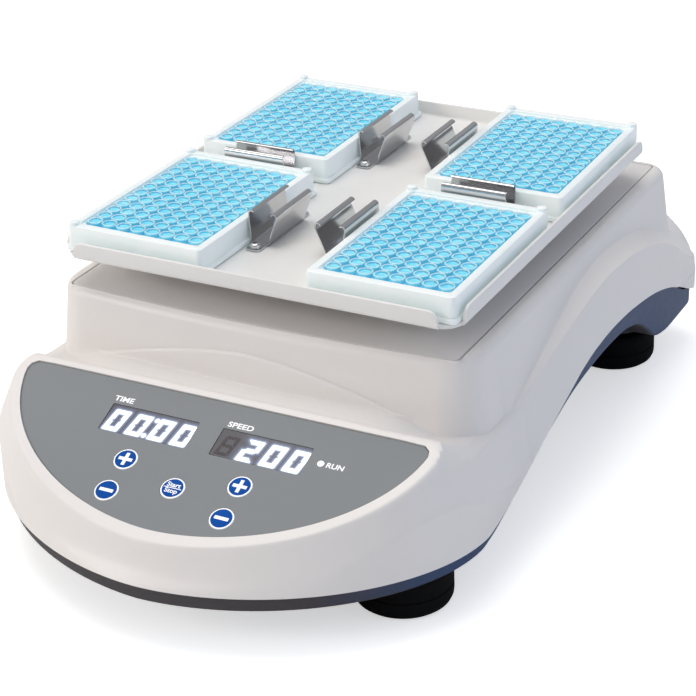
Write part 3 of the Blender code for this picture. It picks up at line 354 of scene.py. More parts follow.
def bm_grid(P, wrap_u=True, wrap_v=True):
    """Faces over an array of points P[u][v]."""
    nu, nv = P.shape[:2]
    bm = bmesh.new()
    V = [[bm.verts.new(P[i, k]) for k in range(nv)] for i in range(nu)]
    for i in range(nu if wrap_u else nu - 1):
        j = (i + 1) % nu
        for k in range(nv if wrap_v else nv - 1):
            l = (k + 1) % nv
            bm.faces.new((V[i][k], V[j][k], V[j][l], V[i][l]))
    if not wrap_u:
        bm.faces.new(V[0])
        bm.faces.new(V[-1][::-1])
    return bm


def raw(name, bm):
    """Object from a bmesh in design millimetres (kept in mm until place())."""
    me = bpy.data.meshes.new(name)
    bmesh.ops.recalc_face_normals(bm, faces=bm.faces)
    bm.to_mesh(me)
    bm.free()
    ob = bpy.data.objects.new(name, me)
    bpy.context.scene.collection.objects.link(ob)
    return ob


def apply_mods(ob):
    dg = bpy.context.evaluated_depsgraph_get()
    me = bpy.data.meshes.new_from_object(ob.evaluated_get(dg))
    ob.modifiers.clear()
    old = ob.data
    ob.data = me
    bpy.data.meshes.remove(old)
    return ob


def join(objs, name):
    """All meshes in one object, keeping their material indices."""
    bm = bmesh.new()
    for o in objs:
        bm.from_mesh(o.data)
        me = o.data
        bpy.data.objects.remove(o)
        bpy.data.meshes.remove(me)
    me = bpy.data.meshes.new(name)
    bm.to_mesh(me)
    bm.free()
    ob = bpy.data.objects.new(name, me)
    bpy.context.scene.collection.objects.link(ob)
    return ob


def cut(ob, tools, op='DIFFERENCE', solver='MANIFOLD'):
    """Boolean with one or several tool objects, which are then removed."""
    for t in (tools if isinstance(tools, (list, tuple)) else [tools]):
        m = ob.modifiers.new("b", 'BOOLEAN')
        m.operation = op
        m.solver = solver
        m.object = t
        apply_mods(ob)
        me = t.data
        bpy.data.objects.remove(t)
        bpy.data.meshes.remove(me)
    return ob


def soften(ob, width, segments=2, angle=35.0):
    """Small rounded edge along every sharp edge."""
    m = ob.modifiers.new("bevel", 'BEVEL')
    m.width = width
    m.segments = segments
    m.limit_method = 'ANGLE'
    m.angle_limit = math.radians(angle)
    m.use_clamp_overlap = True
    m.harden_normals = False
    m.miter_outer = 'MITER_ARC'
    return apply_mods(ob)


def place(ob, body, mats, replaces=(), smooth=32.0, xf=None):
    """Bring a finished piece into the row frame and hang it on its CAD body."""
    if xf is not None:
        ob.data.transform(xf)
    ob.data.transform(Matrix.Scale(MM, 4) @ Matrix.Translation((0.0, Y_SHIFT, 0.0)))
    ob.data.materials.clear()
    for m in (mats if isinstance(mats, (list, tuple)) else [mats]):
        ob.data.materials.append(m)
    if smooth is not None:
        ob.data.shade_smooth()
        ob.data.set_sharp_from_angle(angle=math.radians(smooth))
    ob.data.update()
    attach(ob, body)
    if replaces:
        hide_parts(*replaces)
    return ob


# ---------------------------------------------------------------- materials
def srgb(r, g, b):
    def f(c):
        c /= 255.0
        return c / 12.92 if c <= 0.04045 else ((c + 0.055) / 1.055) ** 2.4
    return (f(r), f(g), f(b), 1.0)


def mix_rgb(nt, fac, a, b, blend='MIX'):
    n = nt.nodes.new("ShaderNodeMix")
    n.data_type = 'RGBA'
    n.blend_type = blend
    for sock, val in ((n.inputs[0], fac), (n.inputs[6], a), (n.inputs[7], b)):
        if isinstance(val, bpy.types.NodeSocket):
            nt.links.new(val, sock)
        else:
            sock.default_value = val
    return n.outputs[2]


def mathn(nt, op, a, b=0.0, clamp=False):
    n = nt.nodes.new("ShaderNodeMath")
    n.operation = op
    n.use_clamp = clamp
    for sock, val in ((n.inputs[0], a), (n.inputs[1], b)):
        if isinstance(val, bpy.types.NodeSocket):
            nt.links.new(val, sock)
        else:
            sock.default_value = val
    return n.outputs[0]


def ramp(nt, fac, stops):
    n = nt.nodes.new("ShaderNodeValToRGB")
    cr = n.color_ramp
    while len(cr.elements) > 1:
        cr.elements.remove(cr.elements[-1])
    cr.elements[0].position, cr.elements[0].color = stops[0]
    for p, c in stops[1:]:
        e = cr.elements.new(p)
        e.color = c
    nt.links.new(fac, n.inputs[0])
    return n.outputs[0]


def noise(nt, vec, scale, detail=2.0, rough=0.5):
    n = nt.nodes.new("ShaderNodeTexNoise")
    n.inputs["Scale"].default_value = scale
    n.inputs["Detail"].default_value = detail
    n.inputs["Roughness"].default_value = rough
    nt.links.new(vec, n.inputs["Vector"])
    return n.outputs[0]


def base_mat(name):
    m = bpy.data.materials.new(name)
    m.use_nodes = True
    nt = m.node_tree
    bs = nt.nodes["Principled BSDF"]
    tc = nt.nodes.new("ShaderNodeTexCoord")
    return m, nt, bs, tc.outputs["Object"]


def bump(nt, bs, height, strength, dist):
    b = nt.nodes.new("ShaderNodeBump")
    b.inputs["Strength"].default_value = strength
    b.inputs["Distance"].default_value = dist
    nt.links.new(height, b.inputs["Height"])
    nt.links.new(b.outputs[0], bs.inputs["Normal"])


def moulded(name, rgb, rough=0.42, vary=0.03, grain=2600.0, bump_k=0.25, spec=0.5, coat=0.0, dust_and_shade=0.04):
    """Fine-grained moulded or coated surface: soft tonal drift, satin grain, faint dust mottling, and painted shade
    darkening the hollows (from ambient occlusion).
    """
    m, nt, bs, co = base_mat(name)
    big = noise(nt, co, 9.0, 3.0, 0.55)
    fine = noise(nt, co, grain, 2.0, 0.6)
    mid = noise(nt, co, 260.0, 3.0, 0.6)
    dark = tuple(c * (1.0 - vary) for c in rgb[:3]) + (1.0,)
    lite = tuple(min(1.0, c * (1.0 + vary)) for c in rgb[:3]) + (1.0,)
    col = ramp(nt, big, [(0.3, dark), (0.7, lite)])
    col = mix_rgb(nt, mathn(nt, 'MULTIPLY', mid, dust_and_shade), col, tuple(c * 0.55 for c in rgb[:3]) + (1.0,))
    # painted shade: ambient occlusion darkens the colour in corners, creases and hollows, scaled by the same amount as
    # the dust mottling
    if dust_and_shade > 0:
        ao = nt.nodes.new("ShaderNodeAmbientOcclusion")
        ao.inputs["Distance"].default_value = 0.006
        ao.samples = 6
        painted_shade = mathn(nt, 'SUBTRACT', 1.0, ao.outputs["AO"])
        col = mix_rgb(nt, mathn(nt, 'MULTIPLY', painted_shade, 2.0 * dust_and_shade, True), col, tuple(c * 0.35 for c in rgb[:3]) + (1.0,))
    nt.links.new(col, bs.inputs["Base Color"])
    r = mathn(nt, 'ADD', mathn(nt, 'MULTIPLY', mathn(nt, 'SUBTRACT', mid, 0.5), 0.14), rough)
    nt.links.new(r, bs.inputs["Roughness"])
    bs.inputs["Specular IOR Level"].default_value = spec
    bs.inputs["Coat Weight"].default_value = coat
    bs.inputs["Coat Roughness"].default_value = 0.2
    bump(nt, bs, fine, bump_k, 0.00006)
    return m


def metal(name, rgb, rough=0.25, stretch=(1.0, 1.0, 1.0), vary=0.08, streak=0.25, aniso=0.0):
    """Bare metal with rolling or turning streaks and slightly uneven sheen."""
    m, nt, bs, co = base_mat(name)
    mp = nt.nodes.new("ShaderNodeMapping")
    mp.inputs["Scale"].default_value = stretch
    nt.links.new(co, mp.inputs["Vector"])
    st = noise(nt, mp.outputs[0], 900.0, 3.0, 0.6)
    big = noise(nt, co, 40.0, 3.0, 0.55)
    dark = tuple(c * (1.0 - vary) for c in rgb[:3]) + (1.0,)
    lite = tuple(min(1.0, c * (1.0 + vary)) for c in rgb[:3]) + (1.0,)
    nt.links.new(ramp(nt, big, [(0.3, dark), (0.7, lite)]), bs.inputs["Base Color"])
    bs.inputs["Metallic"].default_value = 1.0
    r = mathn(nt, 'ADD', mathn(nt, 'MULTIPLY', mathn(nt, 'SUBTRACT', st, 0.5), streak), rough, True)
    nt.links.new(r, bs.inputs["Roughness"])
    bs.inputs["Anisotropic"].default_value = aniso
    bump(nt, bs, st, 0.08, 0.00004)
    return m


M_BODY = moulded("housing_satin", srgb(238, 233, 229), 0.40, 0.012, 2600.0, 0.22, 0.5, 0.0, 0.05)
M_COVER = moulded("cover_satin", srgb(230, 226, 223), 0.45, 0.015, 2400.0, 0.25, 0.45, 0.0, 0.05)
M_BASE = moulded("base_moulded", srgb(62, 57, 60), 0.50, 0.10, 1500.0, 0.5, 0.40, 0.0, 0.10)
_nt = M_BASE.node_tree
_bs = _nt.nodes["Principled BSDF"]
_src = _bs.inputs["Base Color"].links[0].from_socket
# painted light: faces turned towards either side (along x) are tinted navy blue, standing in for the cool light from
# the right; the base itself is dark grey
_tc = _nt.nodes.new("ShaderNodeTexCoord")
_sp = _nt.nodes.new("ShaderNodeSeparateXYZ")
_nt.links.new(_tc.outputs["Normal"], _sp.inputs[0])
_side_light_mask = ramp(_nt, mathn(_nt, 'ABSOLUTE', _sp.outputs[0]), [(0.55, (0, 0, 0, 1)), (0.92, (1, 1, 1, 1))])
_nt.links.new(mix_rgb(_nt, _side_light_mask, _src, srgb(34, 62, 102)), _bs.inputs["Base Color"])
M_RUBBER = moulded("foot_rubber", srgb(9, 9, 10), 0.80, 0.18, 1300.0, 0.7, 0.12, 0.0, 0.2)
M_TRAY = moulded("tray_coating", srgb(240, 238, 235), 0.38, 0.012, 3400.0, 0.30, 0.5, 0.0, 0.05)
M_OVERLAY = moulded("overlay_film", srgb(140, 143, 145), 0.62, 0.02, 4200.0, 0.30, 0.18, 0.0, 0.02)
M_KEY = moulded("key_blue", srgb(2, 80, 166), 0.60, 0.06, 3500.0, 0.2, 0.12, 0.0, 0.0)
M_PRINT = moulded("print_white", srgb(246, 247, 248), 0.5, 0.02, 3500.0, 0.1, 0.3, 0.0, 0.0)
_bs = M_PRINT.node_tree.nodes["Principled BSDF"]
# painted glow: the white print is given a faint emission of its own so it stays bright
_bs.inputs["Emission Color"].default_value = (1.0, 1.0, 1.0, 1.0)
_bs.inputs["Emission Strength"].default_value = 0.25
M_STEEL = metal("spring_steel", (0.60, 0.60, 0.61), 0.13, (1.0, 1.0, 14.0), 0.05, 0.05)
M_SCREW = metal("screw_plated", (0.74, 0.74, 0.74), 0.16, (1.0, 1.0, 1.0), 0.12, 0.25)
M_ZINC = metal("plated_steel", (0.50, 0.51, 0.52), 0.36, (1.0, 1.0, 1.0), 0.22, 0.30)
M_ALU = metal("machined_aluminium", (0.66, 0.67, 0.68), 0.34, (1.0, 1.0, 9.0), 0.08, 0.30)
M_BELT = moulded("belt_rubber", srgb(28, 28, 30), 0.75, 0.2, 900.0, 0.8, 0.3, 0.0, 0.2)
M_BOARD = moulded("board_mask", srgb(22, 92, 58), 0.40, 0.25, 500.0, 0.6, 0.5, 0.0, 0.2)
M_BLACK = moulded("inlet_moulded", srgb(26, 27, 29), 0.42, 0.15, 1400.0, 0.5, 0.45, 0.0, 0.15)
M_BRASS = metal("contact_brass", (0.75, 0.68, 0.50), 0.28, (1.0, 8.0, 1.0), 0.1, 0.2)


# -------------------------------------------------------- housing, fine mesh
def bisect(fn, c, s, lo, hi):
    lo = np.full(c.shape, float(lo)) if np.isscalar(lo) else lo.copy()
    hi = np.full(c.shape, float(hi)) if np.isscalar(hi) else hi.copy()
    for _ in range(46):
        mid = 0.5 * (lo + hi)
        ins = fn(HUB[0] + mid * c, HUB[1] + mid * s) > 0
        lo, hi = np.where(ins, mid, lo), np.where(ins, hi, mid)
    return lo


def spread_azimuths(n):
    """Directions with more of them round the corners of casing, pedestal and opening."""
    a = np.linspace(-0.5 * math.pi, 1.5 * math.pi, 12001)
    c, s = np.cos(a), np.sin(a)
    w = np.zeros(len(a) - 1)
    for fn, k, bend in ((sd_outline, 1.0, 18.0), (sd_seam, 0.6, 9.0), (sd_pedestal, 0.8, 16.0)):
        r = bisect(fn, c, s, 0.0, 330.0)
        x, y = r * c, r * s
        seg = np.hypot(np.diff(x), np.diff(y))
        th = np.unwrap(np.arctan2(np.diff(y), np.diff(x)))
        b = np.abs(np.diff(th, prepend=th[0]))
        b = np.convolve(b, np.ones(41) / 41.0, mode='same')
        w += k * seg + bend * b
    cum = np.concatenate([[0.0], np.cumsum(w)])
    return np.interp(np.linspace(0.0, cum[-1], n + 1)[:-1], cum, a)


def profile_grid(n_az, n_prof):
    az = spread_azimuths(n_az)
    c, s = np.cos(az), np.sin(az)
    r0 = bisect(sd_seam, c, s, 0.0, 260.0)
    r1 = bisect(sd_outline, c, s, r0, 330.0)
    u = np.linspace(0.0, 1.0, 1800)
    u = 1.0 - (1.0 - u) ** 2
    r = r0[:, None] + (r1 - r0)[:, None] * u[None, :]
    x = HUB[0] + r * c[:, None]
    y = HUB[1] + r * s[:, None]
    z = housing_height(x, y)
    zl = arch_white(y)
    T, Q = [], []
    for i in range(n_az):
        ok = np.where(z[i] >= zl[i])[0]
        last = ok[-1] if len(ok) else len(u) - 1
        rr, zz = r[i, :last + 1], z[i, :last + 1]
        t = (rr - r0[i]) / (rr[-1] - r0[i])
        rr = rr + (r1[i] - rr[-1]) * t ** 8
        zz = zz.copy()
        zz[-1] = float(arch_white(HUB[1] + rr[-1] * s[i]))
        seg = np.hypot(np.diff(rr), np.diff(zz))
        ang = np.arctan2(np.diff(zz), np.diff(rr))
        bend = np.abs(np.diff(ang, prepend=ang[0]))
        cum = np.concatenate([[0.0], np.cumsum(seg + 7.0 * bend)])
        idx = np.interp(np.linspace(0.0, cum[-1], n_prof), cum, np.arange(len(rr)))
        arc = np.concatenate([[0.0], np.cumsum(seg)])
        T.append(np.interp(idx, np.arange(len(rr)), arc / arc[-1]))
        Q.append((rr, zz, arc / arc[-1]))
    T = np.array(T)
    # the spacing drifts smoothly from one direction to the next
    k = np.exp(-0.5 * (np.arange(-4, 5) / 1.8) ** 2)
    k /= k.sum()
    S = sum(w * np.roll(T, j, axis=0) for w, j in zip(k, range(-4, 5)))
    S[:, 0], S[:, -1] = 0.0, 1.0
    P = np.zeros((n_az, n_prof, 3))
    for i in range(n_az):
        rr, zz, arc = Q[i]
        ri = np.interp(S[i], arc, rr)
        P[i, :, 0] = HUB[0] + ri * c[i]
        P[i, :, 1] = HUB[1] + ri * s[i]
        P[i, :, 2] = np.interp(S[i], arc, zz)
    return az, r0, P


# ------------------------------------------------------------ console plane
_CN = math.sqrt(1.0 + CON_K ** 2)
CON_O = Vector((0.0, CON_Y, CON_Z))
CON_U = Vector((1.0, 0.0, 0.0))
CON_V = Vector((0.0, 1.0, CON_K)) / _CN
CON_W = Vector((0.0, -CON_K, 1.0)) / _CN
CON_M = Matrix.Translation(CON_O) @ Matrix((CON_U, CON_V, CON_W)).transposed().to_4x4()
WIN_W, WIN_H = 51.5, 17.8
WINDOWS = {"time_display": (-32.0, -26.0), "speed_display": (33.3, -26.0)}
KEYS = {"key_time_up": (-33.0, -49.3), "key_time_down": (-33.0, -69.8), "key_start_stop": (0.0, -59.5),
        "key_speed_up": (33.0, -49.3), "key_speed_down": (33.0, -69.8)}
KEY_R = 6.4
LED_UV = (66.3, -25.0)
RECESS, OV_T = 2.2, 1.0
OV_TOP = -RECESS + 0.35 + OV_T


def d_outline(inset, n=220):
    """D-shaped outline of the console in plane coordinates."""
    a = 2 * np.pi * np.arange(n) / n
    c, s = np.cos(a), np.sin(a)
    lo, hi = np.zeros(n), np.full(n, 150.0)
    for _ in range(44):
        m = 0.5 * (lo + hi)
        ins = sd_rim(m * c, -196.0 + m * s, inset, RIM_TOP - 0.65 * inset) > 0
        lo, hi = np.where(ins, m, lo), np.where(ins, hi, m)
    return [(float(l * cc), float((-196.0 + l * ss - CON_Y) * _CN)) for l, cc, ss in zip(lo, c, s)]


def on_console(ob):
    ob.data.transform(CON_M)
    return ob


def con_prism(name, outline, w0, w1):
    return on_console(raw(name, bm_prism(outline, w0, w1)))


def rect(u, v, hw, hh):
    return [(u - hw, v - hh), (u + hw, v - hh), (u + hw, v + hh), (u - hw, v + hh)]


def arch_pad():
    """Shallow raised field over the console: follows the front wall 1.2 mm proud, ends in a rounded arch."""
    rows = []
    for x in np.linspace(-97.0, 97.0, 131):
        za = 102.5 - 18.5 * (abs(float(x)) / 93.0) ** 1.6
        y = np.linspace(-160.5, -134.0, 2200)
        z = housing_height(np.full(y.shape, x), y)
        za = max(za, float(z[400]) + 0.4)
        hit = np.where(z[400:] > za)[0]
        top = 400 + int(hit[0]) if len(hit) else len(y) - 1
        y, z = y[:top], z[:top]
        arc = np.concatenate([[0.0], np.cumsum(np.hypot(np.diff(y), np.diff(z)))])
        idx = np.interp(np.linspace(0.0, arc[-1], 30), arc, np.arange(len(y)))
        yy, zz = np.interp(idx, np.arange(len(y)), y), np.interp(idx, np.arange(len(y)), z)
        end = 1.0 - float(sstep(84.0, 96.0, abs(x)))
        w = sstep(-159.0, -150.0, yy) * end
        off = 2.3 * w - 0.12 * (1.0 - w)
        sec = [(float(x), float(a - o), float(b - 0.10 * (1.0 - ww))) for a, b, o, ww in zip(yy, zz, off, w)]
        yt, zt, ot = yy[-1], zz[-1], off[-1]
        sec += [(float(x), float(yt - ot + 0.15), float(zt + 0.45)), (float(x), float(yt - ot + 0.45), float(zt + 0.8)), (float(x), float(yt - ot + 0.95), float(zt + 1.0)), (float(x), float(yt + 2.5), float(zt + 1.2))]
        sec += [(float(x), -126.0, float(zt + 1.2)), (float(x), -126.0, 70.0), (float(x), -160.5, 70.0)]
        rows.append(sec)
    return raw("pad", bm_levels(rows))


def build_housing():
    az, r0, P = profile_grid(460, 120)
    n_az = len(az)
    c, s = np.cos(az)[:, None], np.sin(az)[:, None]
    # seam edge: inner wall of the opening and a small rounded lip
    lip = []
    for dr, z in ((0.0, TOP_Z - 3.0), (0.0, TOP_Z - 0.55), (0.10, TOP_Z - 0.22), (0.30, TOP_Z - 0.05)):
        r = r0[:, None] + dr
        lip.append(np.concatenate([HUB[0] + r * c, HUB[1] + r * s, np.full_like(r, z)], axis=1))
    lip = np.stack(lip, axis=1)
    out = P.copy()
    r = r0[:, None] + 0.6
    out[:, 0, 0:1], out[:, 0, 1:2] = HUB[0] + r * c, HUB[1] + r * s
    rad = np.hypot(out[:, :, 0] - HUB[0], out[:, :, 1] - HUB[1])
    keep_inner = P[:, 4::5, :]
    inn = keep_inner.copy()
    inn[:, :, 0] = HUB[0] + (inn[:, :, 0] - HUB[0]) * SHELL_K
    inn[:, :, 1] = HUB[1] + (inn[:, :, 1] - HUB[1]) * SHELL_K
    inn[:, :, 2] *= SHELL_K
    last = P[:, -1:, :].copy()
    last[:, :, 0] = HUB[0] + (last[:, :, 0] - HUB[0]) * SHELL_K
    last[:, :, 1] = HUB[1] + (last[:, :, 1] - HUB[1]) * SHELL_K
    last[:, :, 2] = arch_white(last[:, :, 1])
    inn = inn[:, :-1, :]
    out[:, 1:, :] = np.where((rad[:, 1:, None] > (r0 + 0.65)[:, None, None]), out[:, 1:, :], out[:, 1:, :] + 0.0)
    ring = np.concatenate([lip, out, last, inn[:, ::-1, :]], axis=1)
    ob = raw("housing_shell", bm_grid(ring))
    if ARCH:
        cut(ob, arch_pad(), 'UNION')
    tool = con_prism("t0", d_outline(OV_INSET - 0.4), -RECESS, 14.0)
    for nm, (u, v) in WINDOWS.items():
        cut(tool, con_prism("t", rect(u, v, WIN_W / 2 + 0.3, WIN_H / 2 + 0.3), -25.0, 5.0), 'UNION')
    for nm, (u, v) in KEYS.items():
        cut(tool, con_prism("t", circle(u, v, 4.4, 24), -25.0, 5.0), 'UNION')
    cut(tool, con_prism("t", circle(LED_UV[0], LED_UV[1], 2.6, 20), -25.0, 5.0), 'UNION')
    cut(ob, tool)
    cut(ob, raw("t", bm_box(INLET_X - 24.0, INLET_X + 24.0, 160.0, 205.0, INLET_Z - 14.0, INLET_Z + 14.0)))
    return ob


INLET_X, INLET_Z = -58.0, 51.0
ARCH = True
housing = build_housing()
place(housing, "root", M_BODY, ["upper_housing"], 28.0)


# --------------------------------------------------------------- base, feet
def station_block(inset, zlo, zhi, r_edge=0.0, n=150, cols=15):
    """Block between two height curves with the casing's plan outline and a rounded lower edge."""
    b = NOSE_B - inset
    ys = [NOSE_Y - b * math.cos(math.radians(2.0 + 88.0 * i / 40.0)) for i in range(41)]
    yc = REAR_Y - REAR_R
    ys += [NOSE_Y + (yc - NOSE_Y) * i / (n - 60.0) for i in range(1, n - 59)]
    rr = REAR_R - inset
    ys += [yc + rr * math.sin(math.radians(90.0 * i / 18.0)) for i in range(1, 19)]
    rows = []
    for y in ys:
        w = float(half_width(y, inset))
        lo, hi = float(zlo(y)), float(zhi(y))
        pts = []
        if r_edge > 0:
            for k in range(6):
                t = math.radians(90.0 * k / 5.0)
                pts.append((-w + r_edge * (1 - math.cos(t)), lo + r_edge * (1 - math.sin(t))))
            left = pts
            xs = np.linspace(-w + r_edge, w - r_edge, cols)[1:-1]
            mid = [(float(x), lo) for x in xs]
            right = [(-x, z) for x, z in left][::-1]
            sec = left + mid + right + [(w, hi), (-w, hi)]
        else:
            sec = [(-w, lo), (w, lo), (w, hi), (-w, hi)]
        rows.append([(x, y, z) for x, z in sec])
    return bm_levels(rows)


GROOVE = 1.2
pan = raw("base_shell", station_block(PAN_IN, arch_dark, lambda y: arch_white(y) - GROOVE, 2.2))
for x, y in FOOT_XY[2:]:
    cut(pan, raw("t", bm_turned([(0, BASE_Z), (20.8, BASE_Z), (22.0, BASE_Z + 1.2), (22.0, 46.0), (0, 46.0)], x, y, 56)), 'UNION')
cut(pan, raw("t", station_block(PAN_IN + 3.0, lambda y: arch_dark(y) + PAN_FLOOR, lambda y: 150.0)))
place(pan, "root", M_BASE, ["base_pan"], 34.0)

for nm, (x, y) in zip(("foot_front_left", "foot_front_right", "foot_rear_left", "foot_rear_right"), FOOT_XY):
    prof = [(0, 0.6), (8.0, 0.6), (8.4, 0.0), (21.0, 0.0), (23.2, 0.5), (24.8, 1.8), (25.8, 3.9), (26.0, 6.0),
            (25.9, 10.0), (25.3, 10.4), (25.3, 11.2), (25.9, 11.6), (25.7, 18.0), (25.2, 21.2), (24.2, 22.4), (22.8, 22.7), (0, 22.7)]
    place(raw(nm + "_rubber", bm_turned(prof, x, y, 72)), "root", M_RUBBER, [nm], 40.0)

# ------------------------------------------------------------------- cover
def build_cover():
    a = spread_azimuths(300)
    c, s = np.cos(a), np.sin(a)
    r = bisect(sd_seam, c, s, 0.0, 260.0)
    lv = []
    for dr, z in ((-0.9, TOP_Z - 3.0), (-0.9, TOP_Z - 0.7), (-1.02, TOP_Z - 0.25), (-1.35, TOP_Z - 0.03), (-1.7, TOP_Z)):
        q = r + dr
        lv.append([(float(HUB[0] + q[i] * c[i]), float(HUB[1] + q[i] * s[i]), z) for i in range(len(a))])
    ob = raw("cover_plate", bm_levels(lv))
    for sx in (-1, 1):
        for sy in (-1, 1):
            x, y = sx * 78.0, sy * 92.0
            cut(ob, raw("t", bm_turned([(0, 100), (9.2, 100), (9.2, TOP_Z - 0.6), (9.8, TOP_Z + 0.001), (9.8, 125), (0, 125)], x, y, 48)))
    return ob


place(build_cover(), "root", M_COVER, ["top_cover"], 30.0)

# ---------------------------------------------------------- console overlay
ov = con_prism("overlay_panel", d_outline(OV_INSET), -RECESS + 0.35, OV_TOP)
for nm, (u, v) in WINDOWS.items():
    cut(ov, con_prism("t", rrect(u, v, WIN_W / 2, WIN_H / 2, 0.8, 5), -6.0, 5.0))
for nm, (u, v) in KEYS.items():
    cut(ov, con_prism("t", circle(u, v, KEY_R + 0.28, 56), -6.0, 5.0))
cut(ov, con_prism("t", circle(LED_UV[0], LED_UV[1], 1.8, 40), -6.0, 5.0))
soften(ov, 0.16, 2, 40)
place(ov, "root", M_OVERLAY, ["control_overlay"], None)


def seg_polys(cx, v0, v1, w, stroke, lit, lean=0.17):
    """Slanted seven-segment character as polygons in plane coordinates."""
    h = v1 - v0
    x0, x1, ym, g = -w / 2, w / 2, h / 2, 0.16
    t = stroke
    def hbar(y):
        return [(x0 + g + t * 0.5, y), (x0 + g + t, y + t / 2), (x1 - g - t, y + t / 2), (x1 - g - t * 0.5, y),
                (x1 - g - t, y - t / 2), (x0 + g + t, y - t / 2)]
    def top(y, s):
        return [(x0 + g + 0.15, y + s * t / 2), (x1 - g - 0.15, y + s * t / 2), (x1 - g - t, y - s * t / 2), (x0 + g + t, y - s * t / 2)]
    def vbar(x, s, ya, yb, up):
        # outer side runs to the corner, inner side stops short
        if up:
            return [(x, ya + g), (x + s * t * 0.5, ya + g - 0.0), (x + s * t, ya + t * 0.5), (x + s * t, yb - t - g), (x, yb - g - 0.15)]
        return [(x, ya + g + 0.15), (x + s * t, ya + t + g), (x + s * t, yb - t * 0.5), (x + s * t * 0.5, yb - g), (x, yb - g)]
    P = {"a": top(h - t / 2, 1), "d": top(t / 2, -1), "g": hbar(ym),
         "f": vbar(x0, 1, ym, h, True), "b": vbar(x1, -1, ym, h, True),
         "e": vbar(x0, 1, 0, ym, False), "c": vbar(x1, -1, 0, ym, False)}
    out = []
    for k in lit:
        out.append([(cx + x + (y - h / 2) * lean, v0 + y) for x, y in P[k]])
    return out


CHARS = {"0": "abcdef", "2": "abged", "8": "abcdefg"}
T_CH = [(-50.6, "0"), (-37.2, "0"), (-23.8, "0"), (-10.5, "0")]
S_CH = [(27.7, "2"), (40.9, "0"), (54.0, "0")]
DOTS = [(-31.6, -32.6), (-29.0, -21.9)]


def mat_window():
    m, nt, bs, co = base_mat("display_window")
    at = nt.nodes.new("ShaderNodeAttribute")
    at.attribute_name = "glow"
    n = noise(nt, co, 700.0, 3.0, 0.6)
    col = ramp(nt, n, [(0.25, srgb(30, 26, 34)), (0.75, srgb(44, 38, 50))])
    nt.links.new(col, bs.inputs["Base Color"])
    bs.inputs["Roughness"].default_value = 0.22
    g = mathn(nt, 'MULTIPLY', at.outputs["Fac"], mathn(nt, 'ADD', mathn(nt, 'MULTIPLY', n, 0.3), 0.85))
    ec = ramp(nt, g, [(0.0, (0.020, 0.014, 0.026, 1)), (0.35, (0.20, 0.26, 0.42, 1)), (0.8, (0.66, 0.76, 0.92, 1)), (1.0, (1, 1, 1, 1))])
    nt.links.new(ec, bs.inputs["Emission Color"])
    nt.links.new(mathn(nt, 'ADD', mathn(nt, 'MULTIPLY', g, 1.5), 0.25), bs.inputs["Emission Strength"])
    return m


def mat_lit(name, rgb, strength):
    m, nt, bs, co = base_mat(name)
    n = noise(nt, co, 900.0, 2.0, 0.5)
    nt.links.new(ramp(nt, n, [(0.2, tuple(c * 0.94 for c in rgb) + (1,)), (0.8, tuple(rgb) + (1,))]), bs.inputs["Emission Color"])
    bs.inputs["Emission Strength"].default_value = strength
    bs.inputs["Base Color"].default_value = (0.8, 0.8, 0.85, 1)
    bs.inputs["Roughness"].default_value = 0.3
    return m


M_WINDOW = mat_window()
M_LIT = mat_lit("digit_lit", (0.97, 0.97, 1.0), 1.35)
M_DIM = moulded("digit_dim", srgb(70, 62, 66), 0.4, 0.08, 2500.0, 0.1, 0.3, 0.0, 0.0)


def seg_distance(px, py, poly):
    d = np.full(px.shape, 1e9)
    inside = np.zeros(px.shape, bool)
    n = len(poly)
    for i in range(n):
        (x0, y0), (x1, y1) = poly[i], poly[(i + 1) % n]
        ex, ey = x1 - x0, y1 - y0
        t = np.clip(((px - x0) * ex + (py - y0) * ey) / (ex * ex + ey * ey + 1e-12), 0, 1)
        d = np.minimum(d, np.hypot(px - x0 - t * ex, py - y0 - t * ey))
        hit = ((y0 > py) != (y1 > py)) & (px < (x1 - x0) * (py - y0) / (y1 - y0 + 1e-12) + x0)
        inside ^= hit
    return np.where(inside, 0.0, d)


